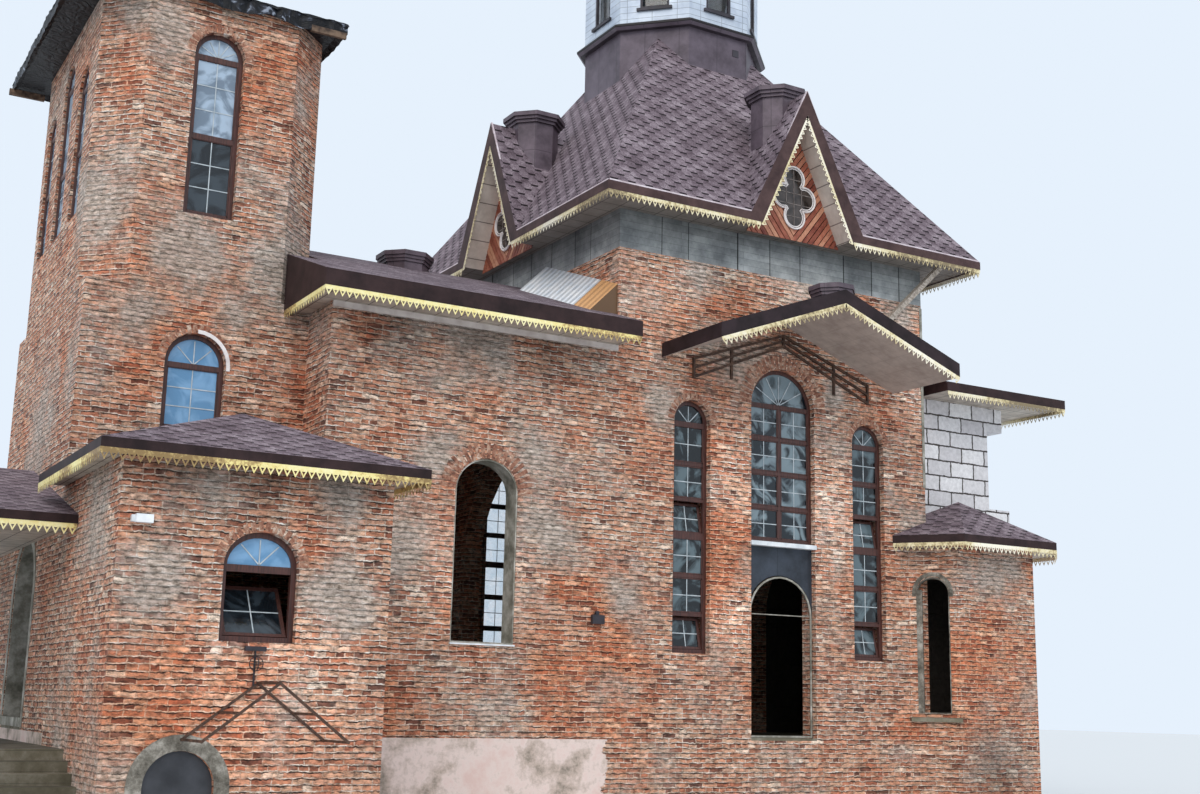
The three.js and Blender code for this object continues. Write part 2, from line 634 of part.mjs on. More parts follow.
// Sheet-metal drum with eight sides under a flat lid with stepped mouldings
function roofDrum(x, y, z0, top, apothem, lid) {
  const under = top - LID.plate;
  const parts = [prism(octagon(x, y, apothem), z0, under)];
  for (let i = 0; i < LID.steps; i += 1) {
    const reach = apothem + ((lid - apothem) * (i + 1)) / (LID.steps + 1);
    parts.push(prism(octagon(x, y, reach), under - (LID.steps - i) * LID.step, under));
  }
  const rim = octagon(x, y, lid);
  parts.push(loft([raise(rim, under), raise(rim, top), raise(octagon(x, y, lid / 4), top + LID.crown)]));
  return join(...parts);
}

function naveRoofDrum() {
  const { x, apothem, lid, foot, top } = NAVE_DRUM;
  return cut(roofDrum(x, AXIS_Y, foot, top, apothem, lid), naveRoofForm(LIFT));
}

// Wedge of corrugated sheet that lies along the crossing's wall and follows the nave roof's slope
function roofHatch() {
  const { reach, y0, y1, rise } = HATCH;
  const slope = (NAVE_EAVE.ridge - NAVE_EAVE.top) / (AXIS_Y + NAVE_EAVE.out);
  const east = CUBE_WEST - FIT;
  const ends = [y0, y1].map((y) => {
    const z = NAVE_EAVE.top + slope * (y + NAVE_EAVE.out) + LIFT;
    return [[east - reach, y, z], [east, y, z + rise], [east, y, z]];
  });
  return loft(ends);
}

place(nave, 'nave_roof', naveRoof(), shinglePaint());
place(nave, 'nave_roof_drum', naveRoofDrum(), darkSheetPaint());
place(nave, 'roof_hatch', roofHatch(), galvanisedPaint());

// Main roof: a steep hipped pyramid with a gablet in the middle of each side
function roofRing(z, apex) {
  const t = (apex - z) / (apex - EAVE.top);
  const hx = ((EAVE_EAST - EAVE_WEST) / 2) * t;
  const hy = ((EAVE_NORTH - EAVE_SOUTH) / 2) * t;
  return raise(rectangle(AXIS_X - hx, AXIS_X + hx, AXIS_Y - hy, AXIS_Y + hy), z);
}

// The four sides of the crossing: a turn about the axis and the distance from the axis to the eave
const SIDES = [
  { turn: 0, reach: AXIS_Y - EAVE_SOUTH },
  { turn: 1, reach: EAVE_EAST - AXIS_X },
  { turn: 2, reach: EAVE_NORTH - AXIS_Y },
  { turn: 3, reach: AXIS_X - EAVE_WEST },
];

// A prism drawn in elevation from the eave line inwards, turned to its side of the crossing
function onSide(side, points, from, to) {
  const face = upright(outline(points), to - from).rotateX(Math.PI / 2).translate(0, to - side.reach, 0);
  return face.rotateZ((side.turn * Math.PI) / 2).translate(AXIS_X, AXIS_Y, 0);
}

function gabletForm(side, lift = 0) {
  const { half, apex, deep } = GABLET;
  const foot = EAVE.soffit;
  const slope = (apex - EAVE.top) / half;
  const spread = half + (EAVE.top - foot) / slope;
  return onSide(side, [[-spread, foot], [spread, foot], [0, apex + 2 * lift]], 0, deep);
}

function roofForm(lift) {
  const plan = roofRing(EAVE.top, ROOF.apex);
  const foot = plan.map(([x, y]) => [x, y, EAVE.soffit]);
  const eave = plan.map(([x, y]) => [x, y, EAVE.top + lift]);
  const top = roofRing(ROOF.top, ROOF.apex).map(([x, y, z]) => [x, y, z + lift]);
  return join(loft([foot, eave, top]), ...SIDES.map((side) => gabletForm(side, lift)));
}

// A cutting tool as wide as a gablet's mouth, from a height above or below the mouth's foot
function mouthTool(side, z, from, to) {
  const { half, apex, foot } = GABLET_MOUTH;
  const spread = (half * (apex - z)) / (apex - foot);
  return onSide(side, [[-spread, z], [spread, z], [0, apex]], from, to);
}

function roofVoid() {
  const walls = rectangle(CUBE_WEST + WALL, CUBE_EAST - WALL, WALL, DEPTH - WALL);
  const over = 2 * PASS;
  return loft([
    raise(walls, EAVE.soffit - PASS),
    raise(walls, EAVE.top + ROOF.knee),
    roofRing(ROOF.top + over, ROOF.apex - ROOF.shell + over),
  ]);
}

// The fascia hangs below the soffit as a narrow rim
function fasciaRim() {
  const { lip, soffit, rim, lap } = EAVE;
  const outer = block(EAVE_WEST, EAVE_EAST, EAVE_SOUTH, EAVE_NORTH, lip, soffit + lap);
  const [x0, x1, y0, y1] = [EAVE_WEST + rim, EAVE_EAST - rim, EAVE_SOUTH + rim, EAVE_NORTH - rim];
  return cut(outer, block(x0, x1, y0, y1, lip - PASS, soffit));
}

function mainRoof() {
  const low = GABLET_MOUTH.foot - GABLET_MOUTH.under;
  const deep = GABLET_BOARD.from + GABLET_BOARD.thick;
  const mouths = SIDES.map((side) => mouthTool(side, low, -PASS, deep));
  const { sill, from, to } = GABLET_VOID;
  const behind = SIDES.map((side) => mouthTool(side, EAVE.soffit + sill, from, to));
  const seat = prism(octagon(AXIS_X, AXIS_Y, SKIRT.apothem + FIT), SKIRT.foot - FIT, SKIRT.top);
  return cut(join(roofForm(0), fasciaRim()), roofVoid(), ...mouths, ...behind, seat);
}

function quatrefoil() {
  const { z, radius, across, up, sides } = QUATREFOIL;
  const centres = [[0, up], [across, 0], [0, -up], [-across, 0]];
  return centres.map(([u, v]) => Array.from({ length: sides }, (_, i) => {
    const angle = (2 * Math.PI * i) / sides;
    return [u + radius * Math.cos(angle), z + v + radius * Math.sin(angle)];
  }));
}

// Boarded gable wall of a gablet, thinned to a pane where the quatrefoil window is
function gabletBoard(side) {
  const { half, apex, foot } = GABLET_MOUTH;
  const { from, thick } = GABLET_BOARD;
  const points = [[-half + SEAT, foot], [half - SEAT, foot], [0, apex - 2 * SEAT]];
  const glass = from + thick - QUATREFOIL.pane;
  const recess = quatrefoil().map((lobe) => onSide(side, lobe, from - PASS, glass));
  return cut(onSide(side, points, from, from + thick), ...recess);
}

function gabletDrum(side) {
  const { apothem, lid, foot, top } = GABLET_DRUM;
  const along = side.reach - GABLET_DRUM.in;
  const angle = ((side.turn - 1) * Math.PI) / 2;
  const x = AXIS_X + along * Math.cos(angle);
  const y = AXIS_Y + along * Math.sin(angle);
  return cut(roofDrum(x, y, foot, top, apothem, lid), roofForm(LIFT));
}

const roof = section();
place(roof, 'main_roof', mainRoof(), shinglePaint());
SIDES.forEach((side, i) => {
  place(roof, `gablet_board_${i + 1}`, gabletBoard(side), boardPaint());
  place(roof, `gablet_drum_${i + 1}`, gabletDrum(side), darkSheetPaint());
});

// Lantern: a sheet-metal skirt, the white drum with a window in each side, and its cap
function axisOctagon(apothem, z) {
  return raise(octagon(AXIS_X, AXIS_Y, apothem), z);
}

function drumSkirt() {
  const { apothem, foot, top, sheet } = SKIRT;
  const { lip, cove, plate, cap, capIn } = CORNICE;
  const body = prism(octagon(AXIS_X, AXIS_Y, apothem), foot, top);
  const cornice = loft([
    axisOctagon(lip - cove, top - cove), axisOctagon(lip, top),
    axisOctagon(lip, top + plate), axisOctagon(apothem + capIn, top + cap),
  ]);
  const hollow = prism(octagon(AXIS_X, AXIS_Y, apothem - sheet), foot - PASS, top + cap + PASS);
  return cut(join(body, cornice), hollow);
}

function drumWalls() {
  const { apothem, foot, top, sheet } = DRUM;
  const body = prism(octagon(AXIS_X, AXIS_Y, apothem), foot, top);
  const hollow = prism(octagon(AXIS_X, AXIS_Y, apothem - sheet), foot - PASS, top + PASS);
  const windows = Array.from({ length: 8 }, (_, i) => {
    const tool = wallAlongX(archPoints(DRUM_WINDOW), [], -apothem - PASS, sheet + 2 * PASS);
    return tool.rotateZ((i * Math.PI) / 4).translate(AXIS_X, AXIS_Y, 0);
  });
  return cut(body, hollow, ...windows);
}

function drumGlazing() {
  const { apothem, foot, top, sheet, pane } = DRUM;
  const outside = apothem - sheet - FIT;
  const ring = prism(octagon(AXIS_X, AXIS_Y, outside), foot, top);
  return cut(ring, prism(octagon(AXIS_X, AXIS_Y, outside - pane), foot - PASS, top + PASS));
}

function drumRoof() {
  const { lip, plate, shoulder, shoulderUp, tip, tipUp } = DRUM_ROOF;
  const z = DRUM.top;
  return loft([
    axisOctagon(lip, z), axisOctagon(lip, z + plate),
    axisOctagon(shoulder, z + shoulderUp), axisOctagon(tip, z + tipUp),
  ]);
}

// Pale timber strut from the wall to the eaves at the south-east corner
function eaveStrut() {
  const { width, foot, head } = EAVE_STRUT;
  const wall = block(0, EAVE_EAST, -FIT, DEPTH, 0, EAVE.soffit);
  const soffit = block(0, EAVE_EAST, EAVE_SOUTH, DEPTH, EAVE.soffit - FIT, EAVE.top + FLOOR);
  return cut(strut(foot, head, width), wall, soffit);
}

place(roof, 'eave_strut', eaveStrut(), timberPaint());

const lantern = section();
place(lantern, 'drum_skirt', drumSkirt(), darkSheetPaint());
place(lantern, 'drum_walls', drumWalls(), whiteSheetPaint());
place(lantern, 'drum_glazing', drumGlazing(), glassPaint());
place(lantern, 'drum_roof', drumRoof(), darkSheetPaint());

// Gabled canopy over the south windows, its small cap, and the steel lattice left under it
function canopyForm(lift) {
  const { half, out, apex, eave, depth } = CANOPY;
  const x = DOOR.at;
  const points = [
    [x - half, eave - depth], [x, apex - depth], [x + half, eave - depth],
    [x + half, eave + lift], [x, apex + lift], [x - half, eave + lift],
  ];
  return wallAlongX(points, [], -out, out - FIT);
}

function canopyCap() {
  const { x, y, apothem, lid, foot, top } = CANOPY_CAP;
  return cut(roofDrum(x, y, foot, top, apothem, lid), canopyForm(LIFT));
}

function bar(x0, z0, x1, z1, width) {
  const run = Math.hypot(x1 - x0, z1 - z0);
  const ux = ((z1 - z0) / run) * (width / 2);
  const uz = ((x1 - x0) / run) * (width / 2);
  const points = [[x0 + ux, z0 - uz], [x1 + ux, z1 - uz], [x1 - ux, z1 + uz], [x0 - ux, z0 + uz]];
  return wallAlongX(points, [], -width, width - FIT);
}

function gableLattice() {
  const { half, low, lowTop, gap, topGap } = LATTICE;
  const { width, inner, tail, hang } = LATTICE_BAR;
  const x = DOOR.at;
  const t = (half - inner) / half;
  const innerLow = low + (lowTop - low) * t;
  const innerHigh = low + gap + (lowTop + topGap - low - gap) * t;
  const bars = [-1, 1].flatMap((hand) => {
    const foot = x + hand * half;
    const middle = x + hand * inner;
    return [
      ...[0, 0.5, 1].map((s) => bar(foot, low + gap * s, x, lowTop + topGap * s, width)),
      bar(foot, low - tail, foot, low + gap + tail, width),
      bar(middle, innerLow - hang, middle, innerHigh + tail, width),
    ];
  });
  return join(...bars, bar(x, lowTop - tail, x, lowTop + topGap + tail, width));
}

const porchFront = section();
place(porchFront, 'front_canopy', canopyForm(0), darkSheetPaint());
place(porchFront, 'canopy_cap', canopyCap(), darkSheetPaint());
place(porchFront, 'gable_lattice', gableLattice(), darkSteelPaint());

// Windows: a frame with its glazing bars and a pane in the middle, fused in one solid
function frameRing(opening, y) {
  const { border, deep } = SASH;
  const { half, crown, sill } = opening;
  const inner = { ...opening, half: half - border, crown: crown - border, sill: sill + border };
  const light = wallAlongX(archPoints(inner), [], y - PASS, deep + 2 * PASS);
  return cut(wallAlongX(archPoints(opening, -FIT), [], y, deep), light);
}

function pane(opening, y) {
  const { border, deep, pane: thick } = SASH;
  return wallAlongX(archPoints(opening, -border / 2), [], y + (deep - thick) / 2, thick);
}

function windowUnit(opening, y, columns, rails) {
  const { border, deep, bar: width, railIn, mullionIn } = SASH;
  const { at, half, sill, spring } = opening;
  const reach = half - border;
  const [x0, x1] = [at - reach - PASS, at + reach + PASS];
  const bars = rails.map((h) => {
    const z = FLOOR + h - width / 2;
    return block(x0, x1, y + railIn, y + deep - railIn, z, z + width);
  });
  for (let i = 1; i < columns; i += 1) {
    const x = at - reach + (2 * reach * i) / columns - width / 2;
    const z = FLOOR + sill + border - PASS;
    bars.push(block(x, x + width, y + mullionIn, y + deep - mullionIn, z, FLOOR + spring));
  }
  return join(frameRing(opening, y), pane(opening, y), ...bars);
}

// Dark sheet that closes the tall opening between the door's arch and the centre window
function doorPanel() {
  const x0 = DOOR.at - DOOR.half + FIT;
  const x1 = DOOR.at + DOOR.half - FIT;
  const head = archPoints(DOOR).slice(2).reverse().slice(1, -1);
  const foot = FLOOR + DOOR.spring;
  const top = FLOOR + CENTRE_WINDOW.sill - FIT;
  const points = [[x0, foot], ...head, [x1, foot], [x1, top], [x0, top]];
  return wallAlongX(points, [], SASH.setBack, SASH.deep);
}

// The annex window keeps only its fanlight and frame: the lower sash stands open
function annexWindow() {
  const { border, deep } = SASH;
  const { at, half, spring, crown } = ANNEX_WINDOW;
  const y = ANNEX_SOUTH + SASH.setBack;
  const z = FLOOR + spring;
  const fan = block(at - half, at + half, y, y + deep, z, FLOOR + crown);
  const reach = half - border + PASS;
  const transom = block(at - reach, at + reach, y, y + deep, z - border, z + PASS);
  return join(frameRing(ANNEX_WINDOW, y), keepInside(pane(ANNEX_WINDOW, y), fan), transom);
}

// Plain sheets inside the tower's west wall and the crossing's north wall close the windows there
function lancetGlazing() {
  const { sheet, over, beside } = GLAZING;
  const [first, middle, last] = LANCETS;
  const low = FLOOR + first.sill - over;
  const high = FLOOR + middle.crown + over;
  const run = rectangle(first.at - first.half - beside, last.at + last.half + beside, low, high);
  return wallAlongY(run, [], TOWER_WEST + WALL + FIT, sheet);
}

function northGlazing() {
  const { sheet, over, beside } = GLAZING;
  const low = FLOOR + LEFT_WINDOW.sill - over;
  const high = FLOOR + CENTRE_WINDOW.crown + over;
  const x0 = LEFT_WINDOW.at - LEFT_WINDOW.half - beside;
  const x1 = RIGHT_WINDOW.at + RIGHT_WINDOW.half + beside;
  return wallAlongX(rectangle(x0, x1, low, high), [], DEPTH - WALL - sheet - FIT, sheet);
}

const windows = section();
const towerSash = TOWER_SOUTH + SASH.setBack;
const leftUnit = windowUnit(LEFT_WINDOW, SASH.setBack, 1, SIDE_RAILS);
const rightUnit = windowUnit(RIGHT_WINDOW, SASH.setBack, 1, SIDE_RAILS);
const centreUnit = windowUnit(CENTRE_WINDOW, SASH.setBack, 2, CENTRE_RAILS);
const towerUnit = windowUnit(TOWER_WINDOW, towerSash, 1, TOWER_RAILS);
const towerLowUnit = windowUnit(TOWER_LOW_WINDOW, towerSash, 1, TOWER_LOW_RAILS);
place(windows, 'window_left', leftUnit, framePaint());
place(windows, 'window_right', rightUnit, framePaint());
place(windows, 'window_centre', centreUnit, framePaint());
place(windows, 'door_panel', doorPanel(), darkSheetPaint());
place(windows, 'window_annex', annexWindow(), framePaint());
place(windows, 'window_tower_upper', towerUnit, framePaint());
place(windows, 'window_tower_lower', towerLowUnit, framePaint());
place(windows, 'tower_west_glazing', lancetGlazing(), glassPaint());
place(windows, 'north_glazing', northGlazing(), glassPaint());

// West porch: a hipped roof on two brick piers over the landing and steps
function porchRoof() {
  const { west, south, hip } = PORCH;
  const { bottom, eave, ridge } = PORCH_LEVELS;
  const east = TOWER_WEST - FIT;
  const hipTop = [west + hip, AXIS_Y, ridge];
  const wallTop = [east, AXIS_Y, ridge];
  return hipRoof(west, east, south, DEPTH - south, bottom, eave, [hipTop, wallTop, wallTop, hipTop]);
}

function porchPier(y) {
  const x0 = PORCH.west + PIER.in;
  return block(x0, x0 + PIER.width, y, y + PIER.width, 0, PORCH_LEVELS.bottom - FIT);
}

function porchSteps() {
  const { count, tread, top, end } = STEPS;
  const rise = LANDING / count;
  const x0 = PORCH.west + PIER.in + PIER.width + FIT;
  const x1 = TOWER_WEST - FIT;
  const points = [[DEPTH - end, 0], [DEPTH - end, LANDING]];
  for (let i = 0; i < count; i += 1) {
    const y = top - i * tread;
    points.push([y, LANDING - i * rise], [y, LANDING - (i + 1) * rise]);
  }
  return wallAlongY(points.reverse(), [], x0, x1 - x0);
}

const porch = section();
place(porch, 'porch_roof', porchRoof(), shinglePaint());
place(porch, 'porch_pier_front', porchPier(PIER.end), brickPaint());
place(porch, 'porch_pier_back', porchPier(DEPTH - PIER.end - PIER.width), brickPaint());
place(porch, 'porch_steps', porchSteps(), concretePaint());

// Altar of aerated blocks
function altarBlock(x0, x1, z0, z1) {
  return block(x0, x1, ALTAR_SOUTH, ALTAR_NORTH, z0, z1);
}

function altarHole(x1, z0, z1) {
  return block(0, x1, ALTAR_SOUTH + BLOCK_WALL, ALTAR_NORTH - BLOCK_WALL, z0, z1);
}

function blockRoom(east, z0, z1) {
  const hole = altarHole(east - BLOCK_WALL, z0 - PASS, z1 + PASS);
  return cut(altarBlock(CUBE_EAST + FIT, east, z0, z1), hole);
}

function altarWalls() {
  const inner = ALTAR_EAST - BLOCK_WALL;
  const shelf = altarBlock(CUBE_EAST + FIT, ALTAR_FOOT_EAST, ALTAR_FOOT_TOP - BLOCK_WALL, ALTAR_FOOT_TOP);
  const corbel = altarBlock(inner, ALTAR_BEAM_EAST, ALTAR_COURSE, ALTAR_TOP);
  return join(
    blockRoom(ALTAR_FOOT_EAST, PLINTH_TOP, ALTAR_FOOT_TOP),
    cut(shelf, altarHole(inner, 0, ALTAR_TOP)),
    blockRoom(ALTAR_EAST, ALTAR_FOOT_TOP, ALTAR_TOP),
    cut(corbel, altarHole(inner + PASS, 0, ALTAR_TOP + PASS)),
  );
}

function altarRoof() {
  const { x0, x1, out, top, ridge, hip } = ALTAR_EAVE;
  const [y0, y1] = [ALTAR_SOUTH - out, ALTAR_NORTH + out];
  const west = CUBE_EAST + FIT;
  const wallTop = [west, AXIS_Y, ridge];
  const hipTop = [x1 - hip, AXIS_Y, ridge];
  const form = hipRoof(west, x1, y0, y1, ALTAR_TOP, top, [wallTop, hipTop, hipTop, wallTop]);
  return cut(
    form,
    block(0, x0, y0 - PASS, ALTAR_SOUTH, 0, ridge + PASS),
    block(0, x0, ALTAR_NORTH, y1 + PASS, 0, ridge + PASS),
  );
}

const altar = section();
place(altar, 'altar_walls', altarWalls(), blockPaint());
place(altar, 'altar_roof', altarRoof(), shinglePaint());

// Sacristy: a half-octagon in the corner between the crossing and the altar
function sacristyWalls() {
  const shell = prism(stripPlan(SACRISTY_PLAN, WALL), PLINTH_TOP, SACRISTY_WALL_TOP);
  const door = wallAlongX(archPoints(SACRISTY_OPENING), [], -WALL - PASS, 3 * WALL);
  const [x0, y0] = SACRISTY_PLAN[0];
  const [x1, y1] = SACRISTY_PLAN[1];
  door.rotateZ(Math.atan2(y1 - y0, x1 - x0)).translate((x0 + x1) / 2, (y0 + y1) / 2, 0);
  const crossing = block(0, CUBE_EAST + FIT, -FIT, DEPTH, 0, SACRISTY_WALL_TOP + PASS);
  const altarSide = block(0, 2 * CUBE_EAST, ALTAR_SOUTH - FIT, DEPTH, 0, SACRISTY_WALL_TOP + PASS);
  return cut(shell, door, crossing, altarSide);
}

function sacristyRoof() {
  const { out, side, top, apex, at } = SACRISTY_EAVE;
  const [[west, south], [bayWest, front], [bayEast], [east]] = SACRISTY_PLAN;
  const flare = out * Math.tan(Math.PI / 8);
  const foot = west - side;
  const back = ALTAR_SOUTH - FIT;
  const plan = [
    [foot, south], [bayWest - flare, front - out], [bayEast + flare, front - out],
    [east + out, south - flare], [east + out, back], [foot, back],
  ];
  const tip = plan.map(() => [...at, apex]);
  const form = loft([raise(plan, SACRISTY_WALL_TOP), raise(plan, top), tip]);
  return cut(form, block(0, CUBE_EAST + FIT, -FIT, DEPTH, 0, apex + PASS));
}

const sacristy = section();
place(sacristy, 'sacristy_walls', sacristyWalls(), brickPaint());
place(sacristy, 'sacristy_roof', sacristyRoof(), shinglePaint());

// Sheet-metal cover of the basement opening and the thin steel gable frame over it
function basementCover() {
  const { back, thick } = BASEMENT_COVER;
  return wallAlongX(archPoints(BASEMENT_OPENING, -FIT), [], ANNEX_SOUTH + back, thick);
}

// Two gables of thin bars joined by a ridge bar, purlins and eave bars, fixed to the annex wall
function basementFrame() {
  const { x, apex, half, drop, purlin, out, bar: width } = BASEMENT_FRAME;
  const back = ANNEX_SOUTH - FIT - width / 2;
  const front = ANNEX_SOUTH - out;
  const at = (t, y) => [x + half * t, y, apex - drop * Math.abs(t)];
  const rafter = (hand, y) => strut(at(0, y), at(hand, y), width);
  const rail = (t) => strut(at(t, front), at(t, back), width);
  const rafters = [-1, 1].flatMap((hand) => [rafter(hand, back), rafter(hand, front)]);
  const rails = [-1, -purlin, 0, purlin, 1].map(rail);
  const wall = block(TOWER_WEST, 0, ANNEX_SOUTH - FIT, 0, 0, apex + FLOOR);
  return cut(join(...rafters, ...rails), wall);
}

place(annex, 'basement_cover', basementCover(), darkSteelPaint());
place(annex, 'basement_frame', basementFrame(), darkSteelPaint());

// The plan is centred on its footprint, with the ground at zero height
const bounds = new THREE.Box3().setFromObject(building);
building.position.set(-(bounds.min.x + bounds.max.x) / 2, -(bounds.min.y + bounds.max.y) / 2, -bounds.min.z);
const church = new THREE.Group();
church.add(building);

export default church;
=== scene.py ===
import math

import bpy
from mathutils import Matrix, Vector


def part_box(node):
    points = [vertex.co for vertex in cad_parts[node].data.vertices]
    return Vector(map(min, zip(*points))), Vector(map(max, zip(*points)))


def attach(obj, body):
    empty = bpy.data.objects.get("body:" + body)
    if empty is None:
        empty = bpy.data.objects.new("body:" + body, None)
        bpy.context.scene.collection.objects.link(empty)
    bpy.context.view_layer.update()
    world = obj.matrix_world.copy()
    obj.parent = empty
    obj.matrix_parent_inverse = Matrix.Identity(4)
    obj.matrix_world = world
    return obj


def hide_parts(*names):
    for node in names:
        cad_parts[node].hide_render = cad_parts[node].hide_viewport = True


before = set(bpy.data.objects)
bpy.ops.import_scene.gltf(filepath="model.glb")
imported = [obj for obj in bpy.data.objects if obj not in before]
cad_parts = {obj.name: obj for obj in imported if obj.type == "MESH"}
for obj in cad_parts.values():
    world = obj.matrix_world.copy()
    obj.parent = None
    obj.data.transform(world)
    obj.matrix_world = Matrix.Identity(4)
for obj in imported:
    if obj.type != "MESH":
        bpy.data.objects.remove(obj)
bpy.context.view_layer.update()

# Floors, steps and beam
# The floor slabs, the steps and the beam that ties the walls under the main roof are concrete, cast in board forms.
# Wet concrete takes the grain of the boards, a line at each board and a joint at each panel of boards.
FORM_BOARD = 0.12
FORM_LENGTH = 2.6
FORM_HIGH = 4.0
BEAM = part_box("ring_beam")


def linear(code):
    """An sRGB hex colour as the linear colour that a shader takes."""
    parts = [int(code[i:i + 2], 16) / 255 for i in (1, 3, 5)]
    return (*[c / 12.92 if c <= 0.04045 else ((c + 0.055) / 1.055) ** 2.4 for c in parts], 1.0)


def add(tree, kind, inputs=None, stops=(), **settings):
    """Adds a node with its settings, what feeds its sockets, by name or in their order, and a colour ramp's stops.

    A node that feeds a socket gives its first output in use, and a number on a colour socket is a grey."""
    node = tree.nodes.new("ShaderNode" + kind)
    for name, value in settings.items():
        setattr(node, name, value)
    for name, value in inputs.items() if isinstance(inputs, dict) else enumerate(inputs or ()):
        socket = node.inputs[name]
        if isinstance(value, bpy.types.Node):
            value = next(output for output in value.outputs if output.enabled)
        if isinstance(value, bpy.types.NodeSocket):
            tree.links.new(value, socket)
        else:
            grey = socket.type == "RGBA" and isinstance(value, (int, float))
            socket.default_value = (value, value, value, 1) if grey else value
    if stops:
        ramp = node.color_ramp
        while len(ramp.elements) < len(stops):
            ramp.elements.new(0.5)
        for element, (place, colour) in zip(ramp.elements, stops):
            element.position = place
            element.color = linear(colour)
    return node


def new_material(name):
    """An empty material, its tree, and the piece's own coordinates for its patterns."""
    material = bpy.data.materials.new(name)
    material.use_nodes = True
    tree = material.node_tree
    tree.nodes.clear()
    return material, tree, add(tree, "TexCoord").outputs["Object"]


def shaded(material, colour, relief=None, **values):
    """Ends a material with its shader: a colour, a relief of height, strength and depth, and constant values."""
    tree = material.node_tree
    inputs = {"Base Color": colour} | {name.replace("_", " "): value for name, value in values.items()}
    if relief:
        height, strength, deep = relief
        inputs["Normal"] = add(tree, "Bump", {"Strength": strength, "Distance": deep, "Height": height})
    add(tree, "OutputMaterial", {"Surface": add(tree, "BsdfPrincipled", inputs)})
    return material


def finish_with(material, *names):
    """Gives CAD nodes their real finish."""
    for name in names:
        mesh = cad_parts[name].data
        mesh.materials.clear()
        mesh.materials.append(material)


def wall_coordinates(tree, place):
    """Distance along a wall and height on it, whichever way the wall faces."""
    facing = add(tree, "NewGeometry").outputs["True Normal"]
    cross = add(tree, "VectorMath", [(0, 0, 1), facing], operation="CROSS_PRODUCT")
    along = add(tree, "VectorMath", [cross], operation="NORMALIZE")
    run = add(tree, "VectorMath", [place, along], operation="DOT_PRODUCT")
    return add(tree, "CombineXYZ", {"X": run, "Y": add(tree, "SeparateXYZ", [place]).outputs["Z"]})


def concrete(name, dark, middle, light, panel, shade=None):
    """Board-marked concrete: matt and cloudy, a line at each board and a joint at each panel, and painted eave shade at
    its top.
    """
    material, tree, place = new_material(name)
    flat = wall_coordinates(tree, place)
    cloud = add(tree, "TexNoise", {"Vector": place, "Scale": 1.7, "Detail": 8.0, "Roughness": 0.7})
    tone = add(tree, "ValToRGB", [cloud], [(0.34, dark), (0.5, middle), (0.66, light)])
    seam = add(tree, "TexBrick", {"Vector": flat, "Color1": 1, "Color2": 0.74, "Mortar": 0.45, "Scale": 1.0,
                                  "Mortar Size": 0.003, "Brick Width": FORM_LENGTH, "Row Height": FORM_BOARD})
    along = add(tree, "VectorMath", [flat, (1, 0, 0)], operation="MULTIPLY")
    drift = add(tree, "TexNoise", {"Vector": along, "Scale": 0.9, "Detail": 0.0})
    uneven = add(tree, "VectorMath", [drift.outputs["Color"], (0.9, 0, 0), flat], operation="MULTIPLY_ADD")
    joint = add(tree, "TexBrick", {"Vector": uneven, "Color1": 1, "Color2": 0.82, "Mortar": 0.1, "Scale": 1.0,
                                   "Mortar Size": 0.011, "Brick Width": panel, "Row Height": FORM_HIGH}, offset=0.37)
    boards = add(tree, "Mix", {0: 1.0, 6: tone, 7: seam}, data_type="RGBA", blend_type="MULTIPLY")
    colour = add(tree, "Mix", {0: 1.0, 6: boards, 7: joint}, data_type="RGBA", blend_type="MULTIPLY")
    if shade:
        # painted shade: lighter at the foot and darker towards the top, where the eave shades it
        height = add(tree, "SeparateXYZ", [place]).outputs["Z"]
        painted_eave_shade = add(tree, "MapRange", [height, shade[0], shade[1], 1.15, 0.55])
        colour = add(tree, "VectorMath", {0: colour, "Scale": painted_eave_shade}, operation="SCALE")
    grit = add(tree, "TexNoise", {"Vector": place, "Scale": 60.0, "Detail": 3.0})
    return shaded(material, colour, (grit, 0.5, 0.008), Roughness=0.88)


slab_concrete = concrete("cast_concrete", "#5D5745", "#7A7462", "#A09A8C", 3.0)
finish_with(slab_concrete, "ground_floor", "tower_floor_lower", "tower_floor_upper", "porch_steps")
finish_with(concrete("board_marked_concrete", "#8B8F91", "#B2B6B6", "#D8DBDA", 0.78, (BEAM[0].z, BEAM[1].z)),
            "ring_beam")

# Brick walls
# Solid walls of fired clay bricks, 250 by 65 mm on the face, laid in courses of 77 mm with lime-cement mortar.
# They wait for their plaster: mortar has squeezed out of the joints, and cement slurry has dried on them in patches.
BRICK = 0.260
COURSE = 0.077
WEST_OF_CORNER = 0.08
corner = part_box("cube_front_wall_left")[0]
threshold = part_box("ground_floor")[1].z
